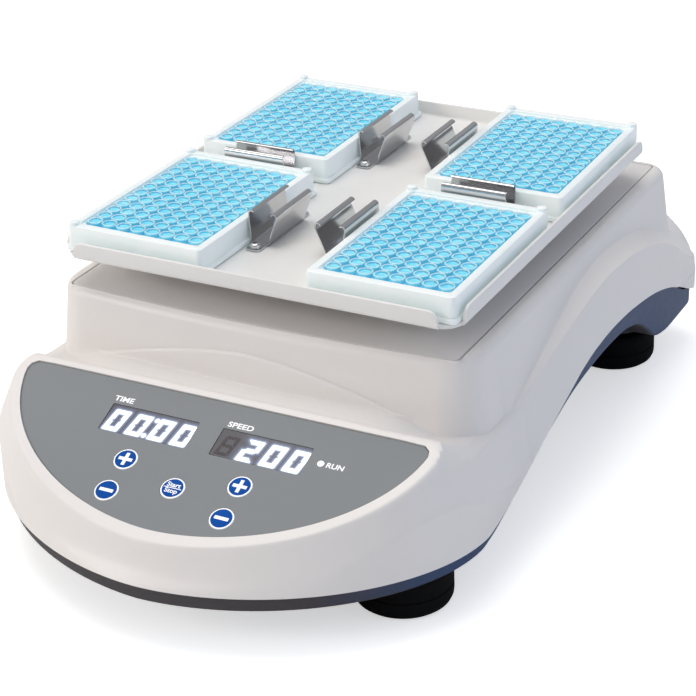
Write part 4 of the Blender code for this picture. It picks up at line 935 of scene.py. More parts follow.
def build_display(node, chars, dots, dim=()):
    u0, v0 = WINDOWS[node]
    hw, hh = WIN_W / 2 - 0.35, WIN_H / 2 - 0.35
    top = OV_TOP - 0.25
    lo_v, hi_v = -34.0, -20.5
    polys = []
    for cx, ch in chars:
        polys += seg_polys(cx, lo_v, hi_v, 8.5, 2.1, CHARS[ch])
    for (du, dv) in dots:
        polys.append(circle(du, dv, 1.05, 20))
    # housing block with a finely divided front that carries the halo
    nu, nv = 150, 54
    bm = bmesh.new()
    gl = bm.verts.layers.float.new("glow")
    us, vs = np.linspace(u0 - hw, u0 + hw, nu), np.linspace(v0 - hh, v0 + hh, nv)
    PU, PV = np.meshgrid(us, vs, indexing='ij')
    glow = np.zeros(PU.shape)
    for p in polys:
        d = seg_distance(PU, PV, p)
        glow = np.maximum(glow, 0.62 * np.exp(-d / 0.55) + 0.38 * np.exp(-d / 2.2))
    V = [[bm.verts.new((us[i], vs[k], top)) for k in range(nv)] for i in range(nu)]
    for i in range(nu):
        for k in range(nv):
            V[i][k][gl] = float(glow[i, k])
    for i in range(nu - 1):
        for k in range(nv - 1):
            bm.faces.new((V[i][k], V[i + 1][k], V[i + 1][k + 1], V[i][k + 1]))
    edge = [V[i][0] for i in range(nu)] + [V[nu - 1][k] for k in range(1, nv)] + [V[i][nv - 1] for i in range(nu - 2, -1, -1)] + [V[0][k] for k in range(nv - 2, 0, -1)]
    low = [bm.verts.new((e.co.x, e.co.y, -9.0)) for e in edge]
    m = len(edge)
    for i in range(m):
        j = (i + 1) % m
        bm.faces.new((edge[i], edge[j], low[j], low[i]))
    bm.faces.new(low)
    ob = on_console(raw(node + "_window", bm))
    place(ob, "root", M_WINDOW, [node], 30.0)
    parts = []
    for p in polys:
        parts.append(raw("p", bm_prism(p, top + 0.015, top + 0.10)))
    place(on_console(join(parts, node + "_digits")), "root", M_LIT, (), 30.0)
    if dim:
        parts = []
        for cx, ch in dim:
            for p in seg_polys(cx, lo_v + 0.5, hi_v - 0.5, 8.0, 1.8, CHARS[ch]):
                parts.append(raw("p", bm_prism(p, top + 0.015, top + 0.06)))
        place(on_console(join(parts, node + "_unlit")), "root", M_DIM, (), 30.0)


build_display("time_display", T_CH, DOTS)
build_display("speed_display", S_CH, (), [(14.7, "8")])


# ------------------------------------------------------------ keys, legends
def text_piece(body, u, v, size, w, shear=0.0, offset=0.0, width=None, thick=0.06, align='CENTER'):
    """Raised printed word on the console plane, centred on (u, v)."""
    cu = bpy.data.curves.new("txt", 'FONT')
    cu.body = body
    cu.size = size
    cu.shear = shear
    cu.offset = offset
    cu.extrude = thick / 2
    cu.align_x, cu.align_y = 'CENTER', 'CENTER'
    cu.resolution_u = 4
    o = bpy.data.objects.new("txt", cu)
    bpy.context.scene.collection.objects.link(o)
    dg = bpy.context.evaluated_depsgraph_get()
    me = bpy.data.meshes.new_from_object(o.evaluated_get(dg))
    bpy.data.objects.remove(o)
    bpy.data.curves.remove(cu)
    co = np.array([x.co for x in me.vertices])
    lo, hi = co.min(0), co.max(0)
    mid = 0.5 * (lo + hi)
    k = (width / (hi[0] - lo[0])) if width else 1.0
    me.transform(Matrix.Translation((u, v, w)) @ Matrix.Diagonal((k, 1.0, 1.0, 1.0)) @ Matrix.Translation((-mid[0], -mid[1], 0.0)))
    ob = bpy.data.objects.new("txt", me)
    bpy.context.scene.collection.objects.link(ob)
    return ob


def legend(name, body, u, v, size, width):
    ob = on_console(text_piece(body, u, v, size, OV_TOP + 0.035, 0.0, 0.10, width))
    ob.name = name
    place(ob, "root", M_PRINT, (), None)


legend("legend_time", "TIME", -53.1, -13.6, 4.5, 11.5)
legend("legend_speed", "SPEED", 16.1, -14.0, 4.5, 14.5)
legend("legend_run", "RUN", 74.4, -25.2, 4.3, 9.4)


def bar(u, v, du, dv, z0, z1):
    r = min(du, dv) * 0.25
    return raw("b", bm_prism(rrect(u, v, du, dv, r, 3), z0, z1))


for nm, (u, v) in KEYS.items():
    z = OV_TOP + 0.2
    prof = [(0, -7.5), (3.6, -7.5), (3.6, -RECESS + 0.55), (KEY_R - 0.1, -RECESS + 0.55), (KEY_R, -RECESS + 0.7),
            (KEY_R, z - 0.28), (KEY_R - 0.08, z - 0.08), (KEY_R - 0.28, z), (0, z)]
    cap = raw("k", bm_turned(prof, u, v, 64))
    disc = raw("k", bm_turned([(0, z - 0.15), (5.6, z - 0.15), (5.6, z + 0.03), (5.54, z + 0.07), (0, z + 0.07)], u, v, 64))
    zs, ze = z + 0.04, z + 0.15
    if "start" in nm:
        sym = [bar(u, v, 4.9, 0.22, zs, ze)]
        a = text_piece("Start", u, v + 2.0, 3.7, (zs + ze) / 2, 0.0, 0.07, 7.6, ze - zs)
        b = text_piece("Stop", u, v - 2.15, 3.7, (zs + ze) / 2, 0.0, 0.07, 7.2, ze - zs)
        sym += [a, b]
    elif nm.endswith("up"):
        sym = [raw("s", bm_prism([(u + x, v + y) for x, y in ((-3.9, -0.95), (-0.95, -0.95), (-0.95, -3.9), (0.95, -3.9), (0.95, -0.95), (3.9, -0.95),
                                                              (3.9, 0.95), (0.95, 0.95), (0.95, 3.9), (-0.95, 3.9), (-0.95, 0.95), (-3.9, 0.95))], zs, ze))]
    else:
        sym = [bar(u, v, 3.9, 0.95, zs, ze)]
    for o, k in [(cap, 1), (disc, 0)] + [(x, 1) for x in sym]:
        for p in o.data.polygons:
            p.material_index = k
        while len(o.data.materials) < 2:
            o.data.materials.append(M_KEY)
        for p in o.data.polygons:
            p.material_index = k
    ob = on_console(join([cap, disc] + sym, nm + "_cap"))
    idx = [p.material_index for p in ob.data.polygons]
    place(ob, nm.replace("key_", "") + "_key", [M_KEY, M_PRINT], [nm], 34.0)
    for p, k in zip(ob.data.polygons, idx):
        p.material_index = k

M_LED = mat_lit("lamp_lit", (1.0, 1.0, 1.0), 1.6)
led = raw("run_lamp", bm_turned([(0, -7.5), (1.65, -7.5), (1.65, OV_TOP - 0.1), (1.55, OV_TOP + 0.1), (1.2, OV_TOP + 0.27), (0.65, OV_TOP + 0.34), (0, OV_TOP + 0.36)], LED_UV[0], LED_UV[1], 40))
place(on_console(led), "root", M_LED, ["run_led"], 60.0)


# --------------------------------------------------------------------- tray
FLOOR_Z = TRAY_Z0 + TRAY_T
CX, CY = TRAY_C


def build_tray():
    hx, hy, t = TRAY_HX, TRAY_HY, TRAY_T
    z0, z2 = TRAY_Z0, TRAY_Z0 + TRAY_FLANGE
    o = rrect(CX, CY, hx - 2.0, hy - 2.0, 12.0, 14)
    oi = rrect(CX, CY, hx - 2.45, hy - 2.45, 11.55, 14)
    ob = raw("tray_sheet", bm_levels([[(x, y, z0) for x, y in oi], [(x, y, z0 + 0.45) for x, y in o],
                                      [(x, y, z0 + t - 0.45) for x, y in o], [(x, y, z0 + t) for x, y in oi]]))
    for ax in (0, 1):
        h = hy if ax == 0 else hx
        L = (hx if ax == 0 else hy) - 11.0
        r, rb, ri = 5.5, 3.0, 1.0
        ss = [-L + r - r * math.sin(math.radians(a)) for a in range(90, -1, -9)]
        ss += list(np.linspace(-L + r, L - r, 24)[1:-1])
        ss += [L - r + r * math.sin(math.radians(a)) for a in range(0, 91, 9)]
        for sg in (-1, 1):
            rows = []
            for s in ss:
                e = max(0.0, abs(s) - (L - r))
                zt = z2 - r + math.sqrt(max(0.0, r * r - e * e))
                q = 0.55
                prof = [(h - 14.0, z0), (h - rb, z0)]
                prof += [(h - rb + rb * math.sin(math.radians(a)), z0 + rb - rb * math.cos(math.radians(a))) for a in range(15, 91, 15)]
                prof += [(h, zt - q), (h - 0.16, zt - 0.16), (h - q, zt), (h - t + q, zt), (h - t + 0.16, zt - 0.16), (h - t, zt - q)]
                prof += [(h - t - ri + ri * math.cos(math.radians(a)), z0 + t + ri - ri * math.sin(math.radians(a))) for a in range(0, 91, 18)]
                prof += [(h - 14.0, z0 + t)]
                # the inner face never dips below the bend
                rows.append([((CX + s, CY + sg * p, z) if ax == 0 else (CX + sg * p, CY + s, z)) for p, z in prof])
            cut(ob, raw("t", bm_levels(rows)), 'UNION')
    return ob


place(build_tray(), "platform", M_TRAY, ["tray"], 30.0)

# -------------------------------------------------------------- spring clips
CLIP_T = 0.8


def build_clip(width, length, tab, lean_l, lean_r, h, rr):
    w = width / 2.0
    def leaf(sg, lean):
        a = math.radians(lean)
        base_r = 1.3
        pts = []
        for k in range(6):
            t = (math.pi / 2 - 0.0) * k / 5.0
            pts.append((sg * (w - base_r + base_r * math.sin(t)), base_r - base_r * math.cos(t)))
        for k in range(1, 7):
            f = k / 6.0
            pts.append((sg * (w + f * h * math.sin(a)), base_r + f * (h * math.cos(a) - base_r)))
        tx, tz = pts[-1]
        cx, cz = tx - sg * rr * math.cos(a), tz + rr * math.sin(a)
        for i in range(1, 15):
            t = a + math.radians(9.8 * i)
            pts.append((cx + sg * rr * math.cos(t), cz + rr * math.sin(t)))
        return pts
    L, R = leaf(-1, lean_l)[::-1], leaf(1, lean_r)
    path = L + [(0.0, 0.0)] + R
    inner = []
    for i, (x, z) in enumerate(path):
        a, b = path[max(i - 1, 0)], path[min(i + 1, len(path) - 1)]
        tx, tz = b[0] - a[0], b[1] - a[1]
        n = math.hypot(tx, tz)
        inner.append((x - tz / n * CLIP_T, z + tx / n * CLIP_T))
    hl = length / 2.0
    rows = []
    for (x0, z0), (x1, z1) in zip(path, inner):
        e = 0.12
        s = 0.5 * min(1.0, max(0.0, (z0 - 12.0) / 4.0)) ** 2
        f = hl - s
        rows.append([(x0, -f + e, z0), (x0, f - e, z0), (x0 + (x1 - x0) * 0.15, f, z0 + (z1 - z0) * 0.15), (x0 + (x1 - x0) * 0.85, f, z0 + (z1 - z0) * 0.85),
                     (x1, f - e, z1), (x1, -f + e, z1), (x0 + (x1 - x0) * 0.85, -f, z0 + (z1 - z0) * 0.85), (x0 + (x1 - x0) * 0.15, -f, z0 + (z1 - z0) * 0.15)])
    ob = raw("clip", bm_levels(rows))
    t = raw("t", bm_prism(rrect(0, 0, w - 1.2, hl + tab, 2.2, 6), 0.02, CLIP_T - 0.02))
    cut(ob, t, 'UNION')
    return ob


def build_screw(x, y, z):
    """Pan-head screw with a cross recess, on a washer."""
    head = raw("s", bm_turned([(0, z + 0.35), (3.0, z + 0.35), (3.02, z + 0.9), (2.8, z + 1.6), (2.2, z + 2.1), (1.3, z + 2.35), (0, z + 2.43)], x, y, 32))
    a = 0.35
    for k in range(2):
        dx, dy = (1.5, 0.28) if k == 0 else (0.28, 1.5)
        b = raw("t", bm_box(-dx, dx, -dy, dy, z + 1.2, z + 3.0))
        b.data.transform(Matrix.Translation((x, y, 0)) @ Matrix.Rotation(a + 0.4 * math.sin(x * 7.0 + y * 3.0), 4, 'Z'))
        cut(head, b)
    wash = raw("s", bm_turned([(0, z), (3.3, z), (3.45, z + 0.12), (3.4, z + 0.32), (0, z + 0.32)], x, y, 32))
    return join([head, wash], "screw")


CLIPS = [("clip_left_mid", CX - 69.0, CY, True, 10.4, 38.8, 7.5, 8.5, 8.5, 16.6, 1.8),
         ("clip_right_mid", CX + 67.4, CY, True, 10.4, 38.8, 7.5, 8.5, 8.5, 16.6, 1.8),
         ("clip_rear_a", CX - 22.4, CY + 67.0, False, 11.0, 41.2, 9.0, 5.0, 17.5, 16.8, 2.1),
         ("clip_front_a", CX - 22.4, CY - 64.8, False, 11.0, 41.2, 9.0, 5.0, 17.5, 16.8, 2.1),
         ("clip_rear_b", CX + 22.4, CY + 67.5, False, 11.0, 41.2, 9.0, 22.0, 3.0, 16.8, 2.1),
         ("clip_front_b", CX + 22.4, CY - 64.8, False, 11.0, 41.2, 9.0, 22.0, 3.0, 16.8, 2.1)]
for name, cx, cy, along_x, width, length, tab, ll, lr, hh, lip_r in CLIPS:
    ob = build_clip(width, length, tab, ll, lr, hh, lip_r)
    ob.name = name + "_strip"
    R = Matrix.Rotation(math.radians(-90.0), 4, 'Z') if along_x else Matrix.Identity(4)
    place(ob, "platform", M_STEEL, [name], 40.0, Matrix.Translation((cx, cy, FLOOR_Z + 0.35)) @ R)
    for k, s in ((1, -1), (2, 1)):
        d = length / 2.0 + tab - 3.9
        x, y = (cx + s * d, cy) if along_x else (cx, cy + s * d)
        sc = build_screw(x, y, FLOOR_Z + 0.35 + CLIP_T + 0.12)
        sc.name = "%s_screwhead_%d" % (name, k)
        place(sc, "platform", M_SCREW, ["%s_screw_%d" % (name, k)], 35.0)


# --------------------------------------------------------------- microplates
def mat_plate():
    """Natural polypropylene-like body: milky and slightly translucent; painted shade tints occluded corners and hollows
    greenish-blue, and a faint painted glow lifts the whole body.
    """
    m, nt, bs, co = base_mat("plate_body")
    n = noise(nt, co, 60.0, 3.0, 0.55)
    col = ramp(nt, n, [(0.3, srgb(240, 247, 245)), (0.7, srgb(247, 251, 250))])
    # painted shade: ambient occlusion tints corners and hollows greenish-blue
    ao = nt.nodes.new("ShaderNodeAmbientOcclusion")
    ao.inputs["Distance"].default_value = 0.012
    ao.samples = 6
    painted_shade = mathn(nt, 'SUBTRACT', 1.0, ao.outputs["AO"])
    col = mix_rgb(nt, mathn(nt, 'MULTIPLY', painted_shade, 0.30, True), col, srgb(176, 218, 224))
    nt.links.new(col, bs.inputs["Base Color"])
    bs.inputs["Roughness"].default_value = 0.28
    # painted glow: a faint emission brightens the whole body
    bs.inputs["Emission Color"].default_value = (0.90, 1.0, 0.98, 1.0)
    bs.inputs["Emission Strength"].default_value = 0.07
    bs.inputs["Subsurface Weight"].default_value = 0.35
    bs.inputs["Subsurface Radius"].default_value = (0.004, 0.005, 0.005)
    bs.inputs["Subsurface Scale"].default_value = 1.0
    bump(nt, bs, noise(nt, co, 1200.0, 2.0, 0.5), 0.08, 0.00005)
    return m


def mat_liquid(name, a, b, c):
    m, nt, bs, co = base_mat(name)
    n = noise(nt, co, 230.0, 4.0, 0.62)
    n2 = noise(nt, co, 28.0, 2.0, 0.5)
    col = ramp(nt, mathn(nt, 'ADD', mathn(nt, 'MULTIPLY', n, 0.75), mathn(nt, 'MULTIPLY', n2, 0.25)), [(0.32, a), (0.5, b), (0.68, c)])
    nt.links.new(col, bs.inputs["Base Color"])
    bs.inputs["Roughness"].default_value = 0.12
    bs.inputs["Specular IOR Level"].default_value = 0.5
    # painted glow: the liquid (and the field between the wells) emits its own colour faintly, to look brighter
    bs.inputs["Emission Strength"].default_value = 0.16
    nt.links.new(col, bs.inputs["Emission Color"])
    bump(nt, bs, n, 0.35, 0.0003)
    return m


def mat_ring():
    """Clear well wall: mostly see-through, with bright edges."""
    m, nt, bs, co = base_mat("well_clear")
    n = noise(nt, co, 420.0, 2.0, 0.5)
    nt.links.new(ramp(nt, n, [(0.3, srgb(186, 228, 240)), (0.7, srgb(226, 244, 249))]), bs.inputs["Base Color"])
    bs.inputs["Roughness"].default_value = 0.10
    bs.inputs["Specular IOR Level"].default_value = 0.9
    lw = nt.nodes.new("ShaderNodeLayerWeight")
    lw.inputs["Blend"].default_value = 0.45
    a = mathn(nt, 'ADD', mathn(nt, 'MULTIPLY', lw.outputs["Facing"], 0.20), 0.05, True)
    nt.links.new(a, bs.inputs["Alpha"])
    return m


def mat_lip():
    """Thin upper edge of a well: pale plastic with a painted highlight, a white emission strongest where the surface
    faces along one fixed sideways direction, which also makes it more opaque there.
    """
    m, nt, bs, co = base_mat("well_lip")
    n = noise(nt, co, 300.0, 2.0, 0.5)
    nt.links.new(ramp(nt, n, [(0.3, srgb(196, 236, 244)), (0.7, srgb(226, 246, 250))]), bs.inputs["Base Color"])
    bs.inputs["Roughness"].default_value = 0.15
    # painted highlight: emission and opacity follow how closely the normal lines up with one fixed direction (0.90,
    # 0.44, 0), standing in for the white glints on the lips
    tc = nt.nodes.new("ShaderNodeTexCoord")
    dot = nt.nodes.new("ShaderNodeVectorMath")
    dot.operation = 'DOT_PRODUCT'
    nt.links.new(tc.outputs["Normal"], dot.inputs[0])
    dot.inputs[1].default_value = (0.90, 0.44, 0.0)
    k = mathn(nt, 'POWER', mathn(nt, 'ABSOLUTE', dot.outputs["Value"]), 5.0)
    bs.inputs["Emission Color"].default_value = (1.0, 1.0, 1.0, 1.0)
    nt.links.new(mathn(nt, 'ADD', mathn(nt, 'MULTIPLY', k, 0.8), 0.10), bs.inputs["Emission Strength"])
    nt.links.new(mathn(nt, 'ADD', mathn(nt, 'MULTIPLY', k, 0.5), 0.5, True), bs.inputs["Alpha"])
    return m


M_PLATE = mat_plate()
M_SHEET = mat_liquid("well_field", srgb(58, 186, 226), srgb(74, 196, 234), srgb(104, 208, 238))
M_FILL = mat_liquid("well_liquid", srgb(98, 206, 232), srgb(122, 216, 238), srgb(160, 228, 242))
M_RING = mat_ring()
M_LIP = mat_lip()


def plate_body():
    a, b, h = PLATE_X / 2, PLATE_Y / 2, PLATE_H
    def rc(hx, hy, r):
        return rrect(0, 0, hx, hy, r, 7)
    def ring(pts, z):
        return [(x, y, z) for x, y in pts]
    L = [ring(rc(a - 2.6, b - 2.6, 2.0), 0.35), ring(rc(a - 0.3, b - 0.3, 2.9), 0.35), ring(rc(a, b, 3.2), 0.65), ring(rc(a, b, 3.2), 2.2),
         ring(rc(a - 0.2, b - 0.2, 3.0), 2.5), ring(rc(a - 1.1, b - 1.1, 2.8), 2.75), ring(rc(a - 1.4, b - 1.4, 2.8), 3.1),
         ring(rc(a - 1.5, b - 1.5, 2.8), h - 0.7), ring(rc(a - 1.7, b - 1.7, 2.7), h - 0.2), ring(rc(a - 2.2, b - 2.2, 2.5), h),
         ring(rc(a - 5.7, b - 6.3, 2.4), h), ring(rc(a - 6.0, b - 6.6, 2.3), h - 0.25), ring(rc(a - 6.15, b - 6.8, 2.2), h - 1.2),
         ring(rc(36.6, 54.7, 4.0), h - 1.25), ring(rc(36.3, 54.4, 4.0), h - 1.6), ring(rc(36.2, 54.3, 4.0), h - 3.6)]
    bm = bmesh.new()
    R = [[bm.verts.new(p) for p in lv] for lv in L]
    low = [[bm.verts.new(p) for p in ring(rc(a - 8.2, b - 10.6, 1.4), 3.0)], [bm.verts.new(p) for p in ring(rc(a - 2.6, b - 2.6, 2.0), 3.0)]]
    n = len(R[0])
    def jn(p, q):
        for i in range(n):
            j = (i + 1) % n
            bm.faces.new((p[i], p[j], q[j], q[i]))
    for p, q in zip(R, R[1:]):
        jn(p, q)
    bm.faces.new(R[-1])
    bm.faces.new(low[0][::-1])
    jn(low[0], low[1])
    jn(low[1], R[0])
    return raw("plate", bm)


def nub(x, y, h=1.9):
    z = PLATE_H - 0.6
    return raw("n", bm_turned([(0, z), (2.9, z), (2.9, z + 0.6 + h - 0.6), (2.65, z + 0.6 + h - 0.2), (2.1, z + 0.6 + h), (0, z + 0.6 + h)], x, y, 32))


def well_parts():
    xs = [(i - 3.5) * 9.0 for i in range(8)]
    ys = [(i - 5.5) * 9.0 for i in range(12)]
    zf, h = PLATE_H - 3.55, PLATE_H
    n = 26
    cs = [(math.cos(2 * math.pi * k / n), math.sin(2 * math.pi * k / n)) for k in range(n)]
    V, F = [], []
    v2, f2 = [], []
    v3, f3 = [], []
    for x in xs:
        for y in ys:
            o = len(V)
            lv = [(3.95, zf + 0.25), (3.95, h - 0.62), (3.60, h - 0.62), (3.60, zf + 0.25)]
            for r, z in lv:
                V += [(x + r * c, y + r * s, z) for c, s in cs]
            m = len(lv)
            for a in range(m):
                b = (a + 1) % m
                for k in range(n):
                    l = (k + 1) % n
                    F.append((o + a * n + k, o + a * n + l, o + b * n + l, o + b * n + k))
            # rounded bead along the top of the well wall
            o = len(v3)
            lip = [(3.82 + 0.42 * math.cos(math.radians(t)), h - 0.42 + 0.28 * math.sin(math.radians(t))) for t in range(0, 360, 60)]
            for r, z in lip:
                v3 += [(x + r * c, y + r * s, z) for c, s in cs]
            for a in range(6):
                b = (a + 1) % 6
                for k in range(n):
                    l = (k + 1) % n
                    f3.append((o + a * n + k, o + a * n + l, o + b * n + l, o + b * n + k))
            # liquid with a slight meniscus, its level a little uneven from well to well
            dz = 0.10 * math.sin(x * 1.7 + y * 0.9)
            o = len(v2)
            lv = [(3.30, zf + 0.2), (3.30, zf + 2.25 + dz), (3.05, zf + 2.05 + dz), (2.3, zf + 1.90 + dz), (1.2, zf + 1.84 + dz)]
            for r, z in lv:
                v2 += [(x + r * c, y + r * s, z) for c, s in cs]
            for a in range(len(lv) - 1):
                for k in range(n):
                    l = (k + 1) % n
                    f2.append((o + a * n + k, o + a * n + l, o + (a + 1) * n + l, o + (a + 1) * n + k))
            f2.append(tuple(o + k for k in range(n))[::-1])
            f2.append(tuple(o + (len(lv) - 1) * n + k for k in range(n)))
    out = []
    for nm, vv, ff in (("rings", V, F), ("lips", v3, [f[::-1] for f in f3]), ("fill", v2, f2)):
        me = bpy.data.meshes.new(nm)
        me.from_pydata(vv, [], ff)
        me.update()
        bm = bmesh.new()
        bm.from_mesh(me)
        bpy.data.meshes.remove(me)
        out.append(raw(nm, bm))
    return out


for nm, sx, sy, rot in (("plate_front_left", -1, -1, -0.75), ("plate_front_right", 1, -1, 0.17), ("plate_rear_left", -1, 1, -0.10), ("plate_rear_right", 1, 1, 0.47)):
    body = nm.replace("plate_", "") + "_microplate"
    xf = Matrix.Translation((CX + sx * PLATE_CX, CY + sy * PLATE_CY, FLOOR_Z)) @ Matrix.Rotation(math.radians(rot), 4, 'Z')
    pb = plate_body()
    a, b = PLATE_X / 2 - 4.5, PLATE_Y / 2 - 4.5
    pts = [(-a, b), (a, b)]
    if sx < 0:
        pts.append((-a, -b))
    for x, y in pts:
        cut(pb, nub(x, y), 'UNION')
    pb.name = nm + "_body"
    place(pb, body, M_PLATE, [nm], 34.0, xf)
    sheet = raw(nm + "_field", bm_levels([[(x, y, z) for x, y in rrect(0, 0, 36.1, 54.2, 3.9, 7)] for z in (PLATE_H - 3.58, PLATE_H - 3.0)]))
    place(sheet, body, M_SHEET, (), 34.0, xf)
    rings, lips, fill = well_parts()
    rings.name, lips.name, fill.name = nm + "_wells", nm + "_lips", nm + "_liquid"
    place(lips, body, M_LIP, (), 50.0, xf)
    place(rings, body, M_RING, (), 50.0, xf)
    place(fill, body, M_FILL, (), 50.0, xf)

# ------------------------------------------------------------- mains inlet
def build_inlet():
    fl = raw("inlet_block", bm_prism([(x, z) for x, z in rrect(0, 0, 28.0, 15.5, 2.0, 5)], -195.4, -193.4))
    fl.data.transform(Matrix.Translation((INLET_X, 0, INLET_Z)) @ Matrix.Rotation(math.radians(90.0), 4, 'X'))
    cut(fl, raw("t", bm_box(INLET_X - 23.4, INLET_X + 23.4, 172.0, 194.5, INLET_Z - 13.4, INLET_Z + 13.4)), 'UNION')
    x0, x1, z0, z1, c = INLET_X - 19.0, INLET_X + 5.0, INLET_Z - 8.0, INLET_Z + 8.0, 4.5
    hole = raw("t", bm_prism([(x0, z0), (x1, z0), (x1, z1 - c), (x1 - c, z1), (x0 + c, z1), (x0, z1 - c)], -200.0, -178.0))
    hole.data.transform(Matrix.Rotation(math.radians(90.0), 4, 'X'))
    cut(fl, hole)
    cut(fl, raw("t", bm_box(RK[0] - 5.6, RK[0] + 5.6, 180.0, 200.0, INLET_Z - 10.6, INLET_Z + 10.6)))
    for sx in (-1, 1):
        t = raw("t", bm_turned([(0, 0), (1.6, 0), (2.6, 1.2), (2.6, 5), (0, 5)], 0, 0, 24))
        t.data.transform(Matrix.Translation((INLET_X + sx * 25.6, 194.4, INLET_Z)) @ Matrix.Rotation(math.radians(-90.0), 4, 'X'))
        cut(fl, t)
    soften(fl, 0.25, 2, 40)
    return fl


RK = (INLET_X + 15.5, 189.6, INLET_Z)
place(build_inlet(), "root", M_BLACK, ["power_inlet"], 30.0)
pins = []
for px, pz in ((-7.0, 2.4), (-14.0, -1.6), (0.0, -1.6)):
    b = raw("p", bm_box(INLET_X + px - 1.0, INLET_X + px + 1.0, 177.5, 189.0, INLET_Z + pz - 2.4, INLET_Z + pz + 2.4))
    pins.append(soften(b, 0.5, 2, 40))
place(join(pins, "inlet_pins"), "root", M_BRASS, (), 35.0)
heads = []
for sx in (-1, 1):
    t = raw("p", bm_turned([(0, -0.6), (1.2, -0.6), (2.35, 0.35), (1.9, 0.62), (0, 0.75)], 0, 0, 28))
    cut(t, raw("t", bm_box(-1.3, 1.3, -0.25, 0.25, 0.35, 2.0)))
    t.data.transform(Matrix.Translation((INLET_X + sx * 25.6, 194.9, INLET_Z)) @ Matrix.Rotation(math.radians(-90.0), 4, 'X'))
    heads.append(t)
place(join(heads, "inlet_screws"), "root", M_SCREW, (), 35.0)

prof = [(-9.4, 1.5), (-9.35, 4.2), (-9.0, 4.75), (-8.4, 4.85), (-4.0, 4.1), (0.0, 3.6), (4.0, 4.1), (8.4, 4.85), (9.0, 4.75), (9.35, 4.2), (9.4, 1.5), (5.0, -5.0), (-5.0, -5.0)]
a = math.radians(6.0)
sec = [(y * math.cos(a) - z * math.sin(a), y * math.sin(a) + z * math.cos(a)) for z, y in prof]
rocker = raw("rocker_cap", bm_levels([[(RK[0] + s, RK[1] + yy, RK[2] + zz) for yy, zz in sec] for s in (-5.0, 5.0)]))
soften(rocker, 0.35, 2, 40)
marks = []
on = raw("m", bm_box(-0.28, 0.28, -1.7, 1.7, -0.05, 0.14))
off = raw("m", bm_levels([[(x, y, z) for x, y in circle(0, 0, r, 28)] for r, z in ((1.75, -0.05), (1.75, 0.14), (1.2, 0.14), (1.2, -0.05))], False))
for o, z in ((on, 5.4), (off, -5.4)):
    o.data.transform(Matrix.Translation((RK[0], RK[1], RK[2])) @ Matrix.Rotation(a, 4, 'X') @ Matrix.Translation((0, 4.22, z))
                     @ Matrix.Rotation(math.radians(-90.0 - (9.0 if z > 0 else -9.0)), 4, 'X'))
    marks.append(o)
place(rocker, "mains_rocker", M_BLACK, ["power_rocker"], 35.0)
place(join(marks, "rocker_marks"), "mains_rocker", M_PRINT, (), 35.0)

# ---------------------------------------- carried-over CAD nodes, new finish
FINISH = {"drive_deck": M_ZINC, "main_bearing": M_ZINC, "idler_bearing_left": M_ZINC, "idler_bearing_right": M_ZINC,
          "crank_shaft": M_ZINC, "counterweight": M_ZINC, "idler_crank_left": M_ZINC, "idler_crank_right": M_ZINC,
          "motor": M_ALU, "motor_pulley": M_ALU, "driven_pulley": M_ALU, "carrier_plate": M_ALU,
          "post_front_left": M_ALU, "post_front_right": M_ALU, "post_rear_left": M_ALU, "post_rear_right": M_ALU,
          "drive_belt": M_BELT, "control_pcb": M_BOARD, "power_supply": M_BOARD}
for nm, m in FINISH.items():
    me = NODES[nm].data
    me.materials.clear()
    me.materials.append(m)

# ------------------------------------------------------------ stage, lights
def stage_floor():
    m, nt, bs, co = base_mat("stage_floor")
    n = noise(nt, co, 3.0, 2.0, 0.5)
    nt.links.new(ramp(nt, n, [(0.3, (0.93, 0.93, 0.93, 1)), (0.7, (0.95, 0.95, 0.95, 1))]), bs.inputs["Base Color"])
    bs.inputs["Roughness"].default_value = 0.6
    bs.inputs["Specular IOR Level"].default_value = 0.1
    bs.inputs["Emission Color"].default_value = (1, 1, 1, 1)
    lp = nt.nodes.new("ShaderNodeLightPath")
    nt.links.new(mathn(nt, 'MULTIPLY', lp.outputs["Is Camera Ray"], 0.55), bs.inputs["Emission Strength"])
    bm = bmesh.new()
    s = 8.0
    bm.faces.new([bm.verts.new(p) for p in ((-s, -s, 0), (s, -s, 0), (s, s, 0), (-s, s, 0))])
    me = bpy.data.meshes.new("stage_floor")
    bm.to_mesh(me)
    bm.free()
    me.materials.append(m)
    ob = bpy.data.objects.new("stage_floor", me)
    bpy.context.scene.collection.objects.link(ob)


stage_floor()

world = bpy.data.worlds.new("studio")
bpy.context.scene.world = world
world.use_nodes = True
nt = world.node_tree
for n in list(nt.nodes):
    nt.nodes.remove(n)
tc = nt.nodes.new("ShaderNodeTexCoord")
sep = nt.nodes.new("ShaderNodeSeparateXYZ")
nt.links.new(tc.outputs["Generated"], sep.inputs[0])
X, Y, Z = sep.outputs[0], sep.outputs[1], sep.outputs[2]
side = mathn(nt, 'ADD', mathn(nt, 'MULTIPLY', X, 0.5), 0.5)
amb = ramp(nt, side, [(0.0, (0.86, 0.83, 0.80, 1)), (0.5, (0.82, 0.81, 0.80, 1)), (0.82, (0.56, 0.62, 0.76, 1)), (1.0, (0.46, 0.54, 0.74, 1))])
up = ramp(nt, mathn(nt, 'MAXIMUM', Z, 0.0), [(0.0, (0.55, 0.55, 0.55, 1)), (0.4, (0.9, 0.9, 0.9, 1)), (1.0, (1.15, 1.15, 1.15, 1))])
diff = mix_rgb(nt, 1.0, amb, up, 'MULTIPLY')
# what shiny things see: light ceiling, dark low walls with a few bright windows
band = ramp(nt, Z, [(0.0, (0.10, 0.10, 0.12, 1)), (0.14, (0.16, 0.16, 0.19, 1)), (0.22, (0.55, 0.55, 0.58, 1)), (0.45, (0.80, 0.80, 0.82, 1)), (0.62, (0.30, 0.31, 0.34, 1)), (0.80, (0.85, 0.85, 0.85, 1)), (1.0, (0.95, 0.95, 0.95, 1))])
lp = nt.nodes.new("ShaderNodeLightPath")
col = mix_rgb(nt, lp.outputs["Is Glossy Ray"], diff, mix_rgb(nt, 0.45, band, diff))
